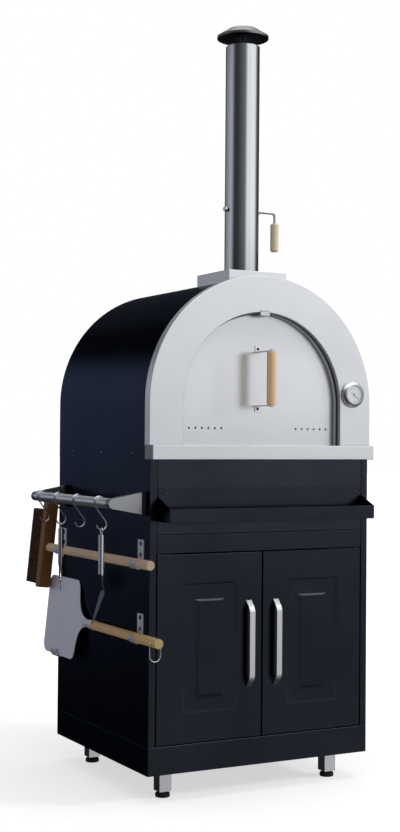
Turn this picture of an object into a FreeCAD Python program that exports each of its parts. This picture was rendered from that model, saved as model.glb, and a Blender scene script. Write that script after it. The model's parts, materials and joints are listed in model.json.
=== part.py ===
import FreeCAD, Part
import math
import os
import re
import Sketcher

os.makedirs("parts", exist_ok=True)
doc = FreeCAD.newDocument("PizzaOvenTable")
Vector = FreeCAD.Vector

# Driving sizes, in millimetres and degrees
SIZES = [
    ("cab_width", 680, "cabinet width over the side panels"),
    ("cab_depth", 600, "cabinet depth"),
    ("sheet", 1.5, "steel sheet of the cabinet and the oven"),
    ("slip", 0.3, "clearance between loose neighbours"),
    ("fit_gap", 0.05, "radial clearance of pins and shafts"),
    ("leg_tube", 35, "square leg tube"),
    ("leg_wall", 2, "wall of the leg tube"),
    ("leg_side_inset", 64, "leg tube from the cabinet side"),
    ("leg_front_inset", 57, "leg tube from the cabinet front"),
    ("leg_rear_inset", 54.5, "leg tube from the cabinet rear"),
    ("leg_lift", 16, "bottom of the leg tube above the floor"),
    ("foot_radius", 19.5, "levelling foot pad radius"),
    ("foot_disc", 11, "levelling foot pad thickness"),
    ("foot_collar", 12, "radius of the collar on the foot pad"),
    ("foot_collar_rise", 3, "height of the collar on the foot pad"),
    ("foot_stem", 5, "levelling foot stem radius"),
    ("foot_height", 52, "levelling foot overall height"),
    ("nut_plate", 8, "threaded plate in the leg tube"),
    ("ground_gap", 75, "floor to the plinth"),
    ("plinth_height", 73, "plinth height"),
    ("flange", 20, "front and rear flange of a side panel"),
    ("groove", 3, "visible groove beside the front panels"),
    ("ear_lap", 10, "how far a front panel laps behind a flange"),
    ("door_clear", 2, "gap under the cabinet doors"),
    ("door_height", 493, "cabinet door height"),
    ("door_depth", 18, "cabinet door thickness over its returns"),
    ("door_gap", 4, "gap between the two cabinet doors"),
    ("pivot_inset", 8, "door pivot from the door edge"),
    ("pivot_back", 10, "door pivot behind the door face"),
    ("pivot_radius", 3, "door pivot pin radius"),
    ("header_gap", 3, "gap above the cabinet doors"),
    ("header_height", 48, "header panel height"),
    ("header_lip", 44, "depth of the header's bottom lip"),
    ("panel_seam", 2, "seam between header and upper panel"),
    ("upper_height", 194, "upper front panel height"),
    ("emboss_side", 76, "pressing from the sides of the door"),
    ("emboss_end", 76.5, "pressing from the ends of the door"),
    ("emboss_band", 48, "width of the sunk band, sides"),
    ("emboss_band_ends", 47, "width of the sunk band, ends"),
    ("emboss_sink", 3, "depth of the sunk band"),
    ("bow_length", 231, "bow handle length"),
    ("bow_width", 16, "bow handle strap width"),
    ("bow_thick", 4, "bow handle strap thickness"),
    ("bow_out", 21, "bow handle stand-off"),
    ("bow_sweep", 30, "height of the swept ends of a bow handle"),
    ("bow_raise", 2.5, "bow handle centre above the middle of the door"),
    ("bow_inset", 40, "bow handle from the meeting edge"),
    ("catch_width", 40, "magnet catch width"),
    ("catch_size", 12, "magnet catch height and depth"),
    ("tray_out", 68, "sauce tray depth"),
    ("tray_lip", 35, "sauce tray front lip height"),
    ("tray_end", 63.5, "sauce tray end height at the back"),
    ("tray_back", 89, "sauce tray back plate height"),
    ("tray_drop", 72, "sauce tray top edge below the cabinet top"),
    ("tray_margin", 1, "sauce tray from the groove"),
    ("tray_screw_drop", 15.5, "sauce tray screws below its top edge"),
    ("tray_screw_inset", 20, "sauce tray screws from its ends"),
    ("ledge_height", 38, "stainless ledge height"),
    ("ledge_out", 24, "ledge in front of the cabinet"),
    ("ledge_depth", 47, "ledge depth at its ends"),
    ("ledge_side", 4, "ledge and fascia beyond the cabinet side"),
    ("tongue_depth", 21, "ledge tongue under the oven door"),
    ("mouth_side", 113, "straight side of the oven mouth"),
    ("fascia_band", 99, "fascia width round the oven mouth"),
    ("fascia_proud", 3, "fascia in front of the cabinet"),
    ("fascia_rim", 27, "fascia rim depth"),
    ("liner_depth", 39.5, "mouth liner depth"),
    ("stop_lap", 13, "door stop inside the mouth"),
    ("oven_wall", 78, "outside of the dome to the outside of the chamber"),
    ("oven_rear", 36.5, "rear of the dome to the rear of the chamber"),
    ("lagging_gap", 2, "gap round the insulation"),
    ("pan_flange", 25, "hearth pan flange height"),
    ("slab_height", 16.5, "insulating slab under the stones"),
    ("stone_gap", 1, "joint between hearth stones"),
    ("stone_slack", 6, "gap behind the hearth stones"),
    ("door_shy", 6, "gap round the oven door"),
    ("oven_door_depth", 14, "oven door thickness"),
    ("vent_radius", 3, "oven door vent hole radius"),
    ("vent_pitch", 19.6, "oven door vent hole pitch"),
    ("vent_inset", 24, "last vent hole from the side of the oven door"),
    ("vent_height", 45, "vent holes above the ledge"),
    ("tab_width", 30, "door tab width"),
    ("tab_drop", 8, "door tab below the top of the mouth"),
    ("tab_lap", 5, "door tab over the fascia"),
    ("grip_x", -6, "oven door handle from the centre"),
    ("grip_out", 73, "oven door grip in front of the door"),
    ("grip_length", 143, "oven door grip length"),
    ("grip_radius", 12.5, "oven door grip radius"),
    ("grip_round", 2, "rounding at the ends of the turned grips"),
    ("grip_mid", 1107, "oven door grip centre above the floor"),
    ("grip_bolt", 3, "oven door grip bolt radius"),
    ("bracket_width", 17, "oven door handle bracket width"),
    ("bracket_thick", 2, "oven door handle bracket thickness"),
    ("bracket_foot", 18, "oven door handle bracket foot height"),
    ("bezel_radius", 37, "thermometer bezel radius"),
    ("bezel_out", 14, "thermometer bezel depth"),
    ("dial_radius", 25.5, "thermometer dial radius"),
    ("dial_deep", 7, "thermometer dial plate in front of the fascia"),
    ("dial_inset", 59, "thermometer from the fascia edge"),
    ("dial_rise", 30, "thermometer above the spring of the arch"),
    ("needle_length", 21, "thermometer needle length"),
    ("needle_angle", 225, "thermometer needle when cold, from straight up"),
    ("needle_width", 1.6, "thermometer needle width"),
    ("needle_thick", 1, "thermometer needle thickness"),
    ("needle_hub", 3, "thermometer needle hub radius"),
    ("needle_pin", 1, "thermometer needle pin radius"),
    ("glass_thick", 1.5, "thermometer glass thickness"),
    ("glass_inset", 1, "thermometer glass behind the bezel"),
    ("bezel_flat", 6, "flat front ring of the bezel"),
    ("probe_radius", 3, "thermometer stem radius"),
    ("probe_length", 34, "thermometer stem length behind the fascia"),
    ("flue_set", 126, "flue axis behind the cabinet front"),
    ("flue_radius", 47.25, "chimney outer radius"),
    ("flue_wall", 1.2, "chimney wall"),
    ("flue_height", 632, "chimney height"),
    ("collar_width", 181, "flue collar box width"),
    ("collar_height", 20, "flue collar top above the top of the dome"),
    ("spigot_up", 40, "flue spigot above the collar"),
    ("damper_drop", 454, "damper axis below the chimney top"),
    ("rod_radius", 4, "damper rod radius"),
    ("rod_reach", 107, "damper grip from the flue axis"),
    ("rod_bend", 9, "damper rod bend radius"),
    ("damper_grip_drop", 29, "top of the damper grip below the rod"),
    ("damper_grip_length", 79, "damper grip length"),
    ("damper_grip_radius", 12, "damper grip radius"),
    ("plate_gap", 1.5, "gap between the damper plate and the flue"),
    ("knob_radius", 7, "damper nut and collar radius"),
    ("knob_length", 8, "damper nut and collar length"),
    ("cap_gap", 23.5, "chimney top to the cap rim"),
    ("cap_radius", 71.5, "cap rim radius"),
    ("cap_top_radius", 38, "cap flat top radius"),
    ("cap_height", 21, "height of the cap above its straight rim"),
    ("cap_lip", 6.5, "straight rim of the cap"),
    ("post_radius", 4, "cap post radius"),
    ("cross_bar", 12, "cross bar in the chimney"),
    ("cross_drop", 27, "cross bar below the chimney top"),
    ("rail_out", 93, "rail axis from the side panel"),
    ("rail_drop", 114, "rail axis below the cabinet top"),
    ("rail_radius", 13.5, "rail tube radius"),
    ("rail_front", 42, "front end of the rail tube behind the cabinet front"),
    ("rail_rear", 66, "rear end of the rail tube in front of the cabinet rear"),
    ("rail_arm", 22, "rail bracket width along the rail"),
    ("rail_flare", 57, "rail bracket height at its foot"),
    ("rail_foot", 11, "rail foot plate thickness"),
    ("rail_foot_height", 63, "rail foot plate height"),
    ("rail_foot_width", 33, "rail foot plate width"),
    ("wire_radius", 2, "S-hook wire radius"),
    ("hook_lower", 14, "S-hook lower curl radius"),
    ("hook_drop", 57.5, "S-hook curl centres apart, down"),
    ("hook_shift", 7, "S-hook curl centres apart, sideways"),
    ("hook_first", 100, "first S-hook in front of the cabinet rear"),
    ("hook_second", 80, "second S-hook behind the cabinet centre"),
    ("hook_third", -51, "third S-hook behind the cabinet centre"),
    ("hook_fourth", -192, "fourth S-hook behind the cabinet centre"),
    ("strip_width", 34, "J bracket strip width"),
    ("strip_thick", 2, "J bracket strip thickness"),
    ("strip_rise", 61, "J bracket strip above the pole axis"),
    ("strip_hole", 6.5, "J bracket hole radius"),
    ("strip_hole_drop", 10.5, "upper J bracket hole below the top of the strip"),
    ("strip_hole_pitch", 29, "distance between the two J bracket holes"),
    ("lip_rise", 6, "J bracket lip above the pole axis"),
    ("blade_seat", 5, "how much lower the J bracket of the leaning blade sits"),
    ("blade_trough", 15.5, "inner radius of the J bracket of the leaning blade"),
    ("bracket_front", 47, "front J brackets behind the cabinet front"),
    ("bracket_rear", 44, "rear J brackets in front of the cabinet rear"),
    ("pole_radius", 12.5, "brush and peel pole radius"),
    ("pole_slack", 0.5, "slack of a pole in its J brackets"),
    ("brush_drop", 156, "brush pole axis below the rail axis"),
    ("brush_front", 38, "brush pole beyond the cabinet front"),
    ("brush_rear", 36, "brush pole beyond the cabinet rear"),
    ("block_width", 36, "brush head width"),
    ("block_shift", 2, "brush head outward from the pole axis"),
    ("block_length", 256, "brush head length"),
    ("block_raise", 8, "brush head centre above the pole axis"),
    ("block_thick", 31, "brush head thickness"),
    ("bristle_length", 84, "bristle length"),
    ("bristle_field", 222, "length of the bristle field"),
    ("bristle_margin", 2.5, "bristles from the sides of the head"),
    ("tool_angle", 5.8, "lean of the brush head and the peel blade"),
    ("peel_drop", 192, "peel pole axis below the brush pole axis"),
    ("peel_front", 89, "peel pole beyond the cabinet front"),
    ("ferrule_length", 55, "peel ferrule from the pole to the blade"),
    ("blade_rear", 50, "peel blade beyond the cabinet rear"),
    ("blade_half", 112, "half width of the peel blade"),
    ("blade_thick", 2, "peel blade thickness"),
    ("neck_half", 11.5, "half width of the peel blade neck"),
    ("blade_length", 288, "peel blade length"),
    ("shoulder", 75, "length of the peel blade shoulders"),
    ("shoulder_corner", 10, "cut of the corner between a shoulder and an edge of the peel blade"),
    ("blade_corner", 28, "peel blade corner radius"),
    ("tenon_step", 3.5, "step from the peel pole to its tenon"),
    ("tenon_length", 28, "length of the peel pole's tenon"),
    ("ferrule_radius", 14, "peel ferrule radius"),
    ("ferrule_tongue", 52, "peel ferrule tongue length"),
    ("rivet_radius", 3, "peel rivet radius"),
    ("loop_back", 22, "wire loop from the front end of the peel pole"),
    ("loop_drop", 48, "wire loop below the pole axis"),
    ("loop_wire", 1.5, "wire loop radius"),
    ("eye_radius", 5, "tool eye hole radius"),
    ("eye_wire", 1.5, "tool eye wire radius"),
    ("handle_radius", 8, "cutter and server handle radius"),
    ("cutter_handle", 98, "cutter handle length"),
    ("server_handle", 103, "server handle length"),
    ("cutter_angle", -23, "turn of the hanging cutter about its eye"),
    ("wheel_radius", 30, "cutter wheel radius"),
    ("wheel_thick", 1.5, "cutter wheel thickness"),
    ("wheel_drop", 153, "cutter wheel axis below its eye"),
    ("bolster", 14, "length of the cutter's bolster"),
    ("fork_thick", 1.5, "thickness of a fork plate"),
    ("fork_width", 12, "width of a fork plate"),
    ("wheel_axle", 2.5, "cutter wheel axle radius"),
    ("fork_gap", 2, "gap between the wheel and a fork plate"),
    ("server_blade", 96, "server blade length"),
    ("server_width", 27, "server blade width"),
    ("server_thick", 1.2, "server blade thickness"),
    ("server_neck", 3, "server neck radius"),
    ("server_straight", 29, "straight part of the server neck"),
    ("server_drop", 40, "handle end to the server blade"),
    ("server_offset", 3.5, "server neck from the middle of its handle"),
    ("server_jog", 3.5, "sideways bend of the server neck"),
    ("server_angle", 20, "lean of the server blade"),
    ("skin_screw_front", 103, "first dome screw from the cabinet front"),
    ("skin_screw_pitch", 201, "distance between the dome screws"),
    ("screw_radius", 4, "screw head radius"),
    ("screw_height", 2.4, "screw head height"),
]

sizes = doc.addObject("Spreadsheet::Sheet", "Sizes")
for row, (alias, value, note) in enumerate(SIZES, start=1):
    sizes.set("A%d" % row, note)
    sizes.set("B%d" % row, str(value))
    sizes.setAlias("B%d" % row, alias)
doc.recompute()

# Places and lengths worked out from the driving sizes
DERIVED = [
    ("half_width", "cab_width / 2"),
    ("half_depth", "cab_depth / 2"),
    ("plinth_top", "ground_gap + plinth_height"),
    ("door_bottom", "plinth_top + door_clear"),
    ("door_top", "door_bottom + door_height"),
    ("header_bottom", "door_top + header_gap"),
    ("upper_bottom", "header_bottom + header_height + panel_seam"),
    ("cabinet_top", "upper_bottom + upper_height"),
    ("face_half", "half_width - flange - groove"),
    ("pivot_x", "face_half - pivot_inset"),
    ("pivot_y", "pivot_back - half_depth"),
    ("door_width", "face_half - door_gap / 2"),
    ("door_mid_x", "door_gap / 2 + door_width / 2"),
    ("emboss_width", "door_width - 2 * emboss_side"),
    ("emboss_height", "door_height - 2 * emboss_end"),
    ("door_mid_z", "door_bottom + door_height / 2"),
    ("tray_half", "face_half - tray_margin"),
    ("tray_top", "cabinet_top - tray_drop"),
    ("tray_bottom", "tray_top - tray_back"),
    ("hearth", "cabinet_top + ledge_height"),
    ("spring", "hearth + mouth_side"),
    ("fascia_front", "-half_depth - fascia_proud"),
    ("fascia_radius", "half_width + ledge_side"),
    ("skin_inner", "half_width - sheet"),
    ("ledge_front", "-half_depth - ledge_out"),
    ("ledge_rear", "ledge_front + ledge_depth"),
    ("mouth_radius", "fascia_radius - fascia_band"),
    ("chamber_radius", "half_width - oven_wall"),
    ("liner_rear", "fascia_front + sheet + liner_depth"),
    ("chamber_front", "liner_rear + sheet"),
    ("chamber_depth", "half_depth - oven_rear - chamber_front"),
    ("stone_front", "ledge_rear + tongue_depth"),
    ("stone_span", "half_depth - oven_rear - sheet - stone_slack - stone_front"),
    ("slab_top", "cabinet_top + sheet + slab_height"),
    ("door_face", "liner_rear - oven_door_depth"),
    ("oven_door_radius", "mouth_radius - door_shy"),
    ("vent_first", "oven_door_radius - vent_inset - 5 * vent_pitch"),
    ("flue_y", "flue_set - half_depth"),
    ("dome_top", "spring + half_width"),
    ("collar_top", "dome_top + collar_height"),
    ("flue_inner", "flue_radius - flue_wall"),
    ("chimney_top", "collar_top + flue_height"),
    ("damper_z", "chimney_top - damper_drop"),
    ("cap_rim", "chimney_top + cap_gap"),
    ("cap_top", "cap_rim + cap_lip + cap_height"),
    ("rail_x", "-half_width - rail_out"),
    ("rail_height", "cabinet_top - rail_drop"),
    ("rail_start", "rail_front - half_depth"),
    ("rail_end", "half_depth - rail_rear"),
    ("hook_upper", "rail_radius + wire_radius + slip"),
    ("curl_x", "rail_x + hook_shift"),
    ("curl_z", "rail_height - hook_drop"),
    ("wire_z", "curl_z - hook_lower"),
    ("eye_z", "wire_z + wire_radius - eye_radius + slip"),
    ("trough", "pole_radius + pole_slack"),
    ("pole_x", "-half_width - strip_thick - trough"),
    ("front_seat", "bracket_front - half_depth"),
    ("rear_seat", "half_depth - bracket_rear"),
    ("brush_height", "rail_height - brush_drop"),
    ("peel_height", "brush_height - peel_drop"),
    ("blade_end", "half_depth + blade_rear"),
    ("neck_start", "blade_end - blade_length"),
    ("pole_end", "neck_start - ferrule_length"),
    ("pole_start", "-half_depth - peel_front"),
    ("dial_x", "fascia_radius - dial_inset"),
    ("dial_z", "spring + dial_rise"),
]

fits = doc.addObject("App::VarSet", "Fits")
known = {alias: "Sizes." + alias for alias, value, note in SIZES}


def bound(words):
    """An expression with each size name pointed at the sheet or at the derived values."""
    return re.sub(r"[a-z][a-z_]*", lambda found: known.get(found.group(0), found.group(0)), words)


for name, words in DERIVED:
    fits.addProperty("App::PropertyFloat", name)
    fits.setExpression(name, bound(words))
    known[name] = "Fits." + name
doc.recompute()


def num(name):
    """The present value of a size or a derived value."""
    if hasattr(fits, name):
        return float(getattr(fits, name))
    return float(sizes.get(name))


def bind(obj, prop, words):
    """Tie one property of an object to the sheet."""
    obj.setExpression(prop, bound(str(words)))


def place(obj, at):
    """Tie an object's place to the sheet."""
    for axis, words in zip("xyz", at):
        bind(obj, "Placement.Base." + axis, words)


def fresh(kind, name):
    obj = doc.addObject(kind, name)
    obj.Label = name
    return obj


# Plain building blocks
def box(name, at, size):
    obj = fresh("Part::Box", name)
    for prop, words in zip(("Length", "Width", "Height"), size):
        bind(obj, prop, words)
    place(obj, at)
    return obj


TURNS = {
    "z": FreeCAD.Rotation(),
    "y": FreeCAD.Rotation(Vector(1, 0, 0), -90),
    "x": FreeCAD.Rotation(Vector(0, 1, 0), 90),
}


def rod(name, at, radius, length, axis="z"):
    """A cylinder that starts at a point and runs along +X, +Y or +Z."""
    obj = fresh("Part::Cylinder", name)
    obj.Placement = FreeCAD.Placement(Vector(), TURNS[axis])
    bind(obj, "Radius", radius)
    bind(obj, "Height", length)
    place(obj, at)
    return obj


def fuse(name, shapes):
    obj = fresh("Part::MultiFuse", name)
    obj.Shapes = shapes
    obj.Refine = True
    return obj


def cut(name, base, tools):
    """The base without the tools."""
    obj = fresh("Part::Cut", name)
    obj.Base = base
    obj.Tool = tools[0] if len(tools) == 1 else fuse(name + "_tools", tools)
    return obj


def common(name, base, tool):
    obj = fresh("Part::Common", name)
    obj.Base = base
    obj.Tool = tool
    return obj


def group(name, shapes):
    """Separate solids that share one node."""
    obj = fresh("Part::Compound", name)
    obj.Links = shapes
    return obj


def tube(name, at, outer, inner, length, axis="z"):
    return cut(name, rod(name + "_outer", at, outer, length, axis),
               [rod(name + "_bore", at, inner, length, axis)])


def arch(name, radius, front, depth, bottom):
    """A solid arch: a half cylinder on a block, front face at y = front."""
    back = "(%s) + (%s)" % (front, depth)
    top = fresh("Part::Cylinder", name + "_round")
    top.Placement = FreeCAD.Placement(Vector(), FreeCAD.Rotation(Vector(1, 0, 0), 90))
    top.Angle = 180
    bind(top, "Radius", radius)
    bind(top, "Height", depth)
    place(top, ("0", back, "spring"))
    legs = box(name + "_legs", ("-(%s)" % radius, front, bottom),
               ("2 * (%s)" % radius, depth, "spring - (%s)" % bottom))
    return fuse(name, [top, legs])


# Sketched building blocks
def plane(body, role):
    return next(item for item in body.Origin.OriginFeatures if item.Role == role)


def outline(body, name, role, points):
    """A closed sketch whose corners are tied to the sheet."""
    sketch = body.newObject("Sketcher::SketchObject", name)
    sketch.AttachmentSupport = [(plane(body, role), "")]
    sketch.MapMode = "FlatFace"
    count = len(points)
    start = [Vector(math.cos(2 * math.pi * i / count), math.sin(2 * math.pi * i / count),
                    0) for i in range(count)]
    for i in range(count):
        sketch.addGeometry(Part.LineSegment(start[i], start[(i + 1) % count]), False)
    for i in range(count):
        sketch.addConstraint(Sketcher.Constraint("Coincident", i, 2, (i + 1) % count, 1))
    for i, corner in enumerate(points):
        for kind, here, words in (("DistanceX", start[i].x, corner[0]),
                                  ("DistanceY", start[i].y, corner[1])):
            index = sketch.addConstraint(Sketcher.Constraint(kind, -1, 1, i, 1, here))
            sketch.setExpression("Constraints[%d]" % index, bound(str(words)))
    return sketch


def padded(name, role, points, length, at=("0", "0", "0"), symmetric=False):
    """A body with one sketched outline, padded."""
    body = fresh("PartDesign::Body", name)
    sketch = outline(body, name + "_sketch", role, points)
    pad = body.newObject("PartDesign::Pad", name + "_pad")
    pad.Profile = sketch
    pad.SideType = "Symmetric" if symmetric else "One side"
    bind(pad, "Length", length)
    place(body, at)
    return body


def pocketed(body, name, role, points, length):
    """A symmetric pocket in a body."""
    sketch = outline(body, name + "_sketch", role, points)
    pocket = body.newObject("PartDesign::Pocket", name)
    pocket.Profile = sketch
    pocket.SideType = "Symmetric"
    bind(pocket, "Length", length)
    return body


def turned(name, points, at):
    """A body turned about the vertical axis from a half profile of radius and height."""
    body = fresh("PartDesign::Body", name)
    sketch = outline(body, name + "_sketch", "XZ_Plane", points)
    turn = body.newObject("PartDesign::Revolution", name + "_turn")
    turn.Profile = sketch
    turn.ReferenceAxis = (sketch, ["V_Axis"])
    turn.Angle = 360
    place(body, at)
    return body


def shaped(name, shape):
    """A piece whose shape is made directly from the sizes."""
    obj = fresh("Part::Feature", name)
    obj.Shape = shape
    return obj


def along(path_edges, radius):
    """A round wire swept along a path of lines and arcs."""
    path = Part.Wire(path_edges)
    first = path_edges[0]
    start = first.valueAt(first.FirstParameter)
    heading = first.tangentAt(first.FirstParameter)
    ring = Part.Wire(Part.Circle(start, heading, radius).toShape())
    return path.makePipeShell([ring], True, False)


NODES = []


def node(obj):
    NODES.append(obj)
    return obj


# Cabinet: an open-bottomed plinth pan with holes for the posts
def post_corners():
    """The low corner of each post in plan."""
    left = "-half_width + leg_side_inset"
    right = "half_width - leg_side_inset - leg_tube"
    front = "-half_depth + leg_front_inset"
    rear = "half_depth - leg_rear_inset - leg_tube"
    return {
        "front_left": (left, front),
        "front_right": (right, front),
        "rear_left": (left, rear),
        "rear_right": (right, rear),
    }


def make_plinth():
    outer = box("plinth_outer", ("-half_width", "-half_depth", "ground_gap"),
                ("cab_width", "cab_depth", "plinth_height"))
    hollow = box(
        "plinth_hollow",
        ("sheet - half_width", "sheet - half_depth", "ground_gap"),
        ("cab_width - 2 * sheet", "cab_depth - 2 * sheet", "plinth_height - sheet"),
    )
    holes = [
        box("plinth_hole_" + corner, (x + " - slip", y + " - slip", "ground_gap"),
            ("leg_tube + 2 * slip", "leg_tube + 2 * slip", "plinth_height"))
        for corner, (x, y) in post_corners().items()
    ]
    node(cut("plinth", outer, [hollow] + holes))


def make_side_panel(name, side):
    """side is -1 for left and 1 for right."""
    edge = "%d * half_width" % side
    skin = "%d * (half_width - sheet)" % side
    lip = "%d * (half_width - flange)" % side
    front, rear = "-half_depth", "half_depth"
    points = [
        (edge, front), (lip, front), (lip, front + " + sheet"), (skin, front + " + sheet"),
        (skin, rear + " - sheet"), (lip, rear + " - sheet"), (lip, rear), (edge, rear),
    ]
    node(padded(name, "XY_Plane", points, "cabinet_top - plinth_top", ("0", "0", "plinth_top")))


def make_front_panel(name, bottom, height, lip_at, lip_depth):
    """A front panel with ears behind the side flanges and one lip turned back."""
    ear = "face_half - sheet"
    ear_length = "groove + sheet + ear_lap"
    behind = "-half_depth + sheet"
    pieces = [
        box(name + "_face", ("-face_half", "-half_depth", bottom), ("2 * face_half", "sheet", height)),
        box(name + "_ear_right", (ear, behind, bottom), (ear_length, "sheet", height)),
        box(name + "_ear_left", ("-(%s) - (%s)" % (ear, ear_length), behind, bottom),
            (ear_length, "sheet", height)),
        box(name + "_lip", ("-face_half", "-half_depth", lip_at), ("2 * face_half", lip_depth, "sheet")),
    ]
    node(fuse(name, pieces))


def make_rear_panel():
    node(box(
        "rear_panel",
        ("sheet + slip - half_width", "half_depth - 2 * sheet", "plinth_top"),
        ("cab_width - 2 * (sheet + slip)", "sheet", "cabinet_top - plinth_top"),
    ))


def make_support_frame():
    """Four posts and a top ring of square tube, with threaded plates for the feet."""
    outer, inner, plates, holes = [], [], [], []
    bore = "leg_tube - 2 * leg_wall"
    for corner, (x, y) in post_corners().items():
        outer.append(box("post_" + corner, (x, y, "leg_lift"),
                         ("leg_tube", "leg_tube", "cabinet_top - leg_lift")))
        inner.append(box("post_bore_" + corner, (x + " + leg_wall", y + " + leg_wall", "leg_lift"),
                         (bore, bore, "cabinet_top - leg_lift - leg_wall")))
        plates.append(box("post_plate_" + corner, (x, y, "leg_lift"),
                          ("leg_tube", "leg_tube", "nut_plate")))
        holes.append(rod("post_thread_" + corner,
                         (x + " + leg_tube / 2", y + " + leg_tube / 2", "leg_lift"),
                         "foot_stem + fit_gap", "nut_plate"))
    corners = post_corners()
    ring_z = "cabinet_top - leg_tube"
    left, front = corners["front_left"]
    right, rear = corners["rear_right"]
    span_x = "cab_width - 2 * leg_side_inset - 2 * leg_tube"
    span_y = "cab_depth - leg_front_inset - leg_rear_inset - 2 * leg_tube"
    for side, x, y in (("front", left, front), ("rear", left, rear)):
        outer.append(box("ring_" + side, (x + " + leg_tube", y, ring_z), (span_x, "leg_tube", "leg_tube")))
        inner.append(box("ring_bore_" + side,
                         (x + " + leg_tube", y + " + leg_wall", ring_z + " + leg_wall"),
                         (span_x, bore, bore)))
    for side, x, y in (("left", left, front), ("right", right, front)):
        outer.append(box("ring_" + side, (x, y + " + leg_tube", ring_z), ("leg_tube", span_y, "leg_tube")))
        inner.append(box("ring_bore_" + side,
                         (x + " + leg_wall", y + " + leg_tube", ring_z + " + leg_wall"),
                         (bore, span_y, bore)))
    hollow = cut("frame_tubes", fuse("frame_outer", outer), inner)
    node(cut("support_frame", fuse("frame_plated", [hollow] + plates), holes))


def make_feet():
    """A levelling foot under each post: pad, collar and threaded stem."""
    collar_top = "foot_disc + foot_collar_rise"
    points = [
        ("0", "0"), ("foot_radius", "0"), ("foot_radius", "foot_disc"), ("foot_collar", "foot_disc"),
        ("foot_collar", collar_top), ("foot_stem", collar_top), ("foot_stem", "foot_height"),
        ("0", "foot_height"),
    ]
    for corner, (x, y) in post_corners().items():
        node(turned("levelling_foot_" + corner, points,
                    (x + " + leg_tube / 2", y + " + leg_tube / 2", "0")))


def make_door(name, side):
    """A pan with returned edges and a pressed centre, hinged at its outer edge."""
    left = "-face_half" if side < 0 else "door_gap / 2"
    middle = "%d * door_mid_x" % side
    front = "-half_depth"
    pan = box(name + "_pan", (left, front, "door_bottom"), ("door_width", "door_depth", "door_height"))
    inside = box(name + "_inside", (left + " + sheet", front + " + sheet", "door_bottom + sheet"),
                 ("door_width - 2 * sheet", "door_depth", "door_height - 2 * sheet"))

    def centred(label, width, height, start, depth):
        return box(name + label, ("%s - (%s) / 2" % (middle, width), front + " + " + start,
                                  "door_mid_z - (%s) / 2" % height), (width, depth, height))

    inner_width = "emboss_width - 2 * emboss_band"
    inner_height = "emboss_height - 2 * emboss_band_ends"
    backing = centred("_backing", "emboss_width + 2 * sheet", "emboss_height + 2 * sheet", "sheet",
                      "emboss_sink")
    sunk = centred("_sunk", "emboss_width", "emboss_height", "0", "emboss_sink")
    raised = centred("_raised", inner_width, inner_height, "0", "emboss_sink + sheet")
    behind = centred("_behind", inner_width + " - 2 * sheet", inner_height + " - 2 * sheet", "sheet",
                     "emboss_sink + sheet")
    shell = fuse(name + "_shell", [cut(name + "_open", pan, [inside]), backing])
    pressed = fuse(name + "_pressed", [cut(name + "_pressing", shell, [sunk]), raised])
    pin = rod(name + "_pin_hole", ("%d * pivot_x" % side, "pivot_y", "door_bottom - sheet"),
              "pivot_radius + fit_gap",
              "door_height + 2 * sheet")
    node(cut(name, pressed, [behind, pin]))


def make_bow_handle(name, side):
    """A strap bent into a bow with two feet on the door."""
    low = "door_mid_z + bow_raise - bow_length / 2"
    high = "door_mid_z + bow_raise + bow_length / 2"
    face = "-half_depth"
    out = "-half_depth - bow_out"
    knee, inner_knee = out + " + 0.18 * bow_out", out + " + 0.18 * bow_out + 0.89 * bow_thick"
    bend, inner_bend = "0.64 * bow_sweep", "(0.64 * bow_sweep + bow_thick / 2)"
    points = [
        (face, low), (knee, low + " + " + bend), (out, low + " + bow_sweep"),
        (out, high + " - bow_sweep"), (knee, high + " - " + bend), (face, high),
        (face, high + " - 1.5 * bow_thick"), (inner_knee, high + " - " + inner_bend),
        (out + " + bow_thick", high + " - bow_sweep - bow_thick / 6"),
        (out + " + bow_thick", low + " + bow_sweep + bow_thick / 6"),
        (inner_knee, low + " + " + inner_bend), (face, low + " + 1.5 * bow_thick"),
    ]
    node(padded(name, "YZ_Plane", points, "bow_width",
                ("%d * (door_gap / 2 + bow_inset)" % side, "0", "0"), True))


def make_pivot_pins():
    """Two pins per door, each with a collar, on the plinth and under the header."""
    pins = []
    for label, side in (("left", -1), ("right", 1)):
        x = "%d * pivot_x" % side
        lower = [
            rod("pin_low_" + label, (x, "pivot_y", "plinth_top"), "pivot_radius", "door_clear + 3 * sheet"),
            rod("collar_low_" + label, (x, "pivot_y", "plinth_top"), "2 * pivot_radius", "door_clear"),
        ]
        reach = "header_gap + 3 * sheet"
        upper = [
            rod("pin_high_" + label, (x, "pivot_y", "header_bottom - (%s)" % reach), "pivot_radius", reach),
            rod("collar_high_" + label, (x, "pivot_y", "door_top + slip"), "2 * pivot_radius",
                "header_gap - slip"),
        ]
        pins += [fuse("pivot_low_" + label, lower), fuse("pivot_high_" + label, upper)]
    node(group("door_pivot_pins", pins))


def make_catches():
    """Magnet catches under the header's lip, behind the meeting edges of the doors."""
    y = "door_depth + 1 - half_depth"
    size = ("catch_width", "catch_size", "catch_size")
    node(group("magnet_catches", [
        box("catch_left", ("-door_gap - catch_width", y, "header_bottom - catch_size"), size),
        box("catch_right", ("door_gap", y, "header_bottom - catch_size"), size),
    ]))


def make_tray():
    """A folded sauce tray on the front panel: back plate, bottom, lip and sloping ends."""
    face, out = "-half_depth", "-half_depth - tray_out"
    profile = [
        (face, "tray_bottom"), (out, "tray_bottom"), (out, "tray_bottom + tray_lip"),
        (face + " - sheet", "tray_bottom + tray_end"), (face + " - sheet", "tray_top"), (face, "tray_top"),
    ]
    body = padded("sauce_tray", "YZ_Plane", profile, "2 * tray_half", symmetric=True)
    inside = [
        (face + " - sheet", "tray_bottom + sheet"), (out + " + sheet", "tray_bottom + sheet"),
        (out + " + sheet", "tray_top"), (face + " - sheet", "tray_top"),
    ]
    node(pocketed(body, "sauce_tray_inside", "YZ_Plane", inside, "2 * (tray_half - sheet)"))


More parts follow.
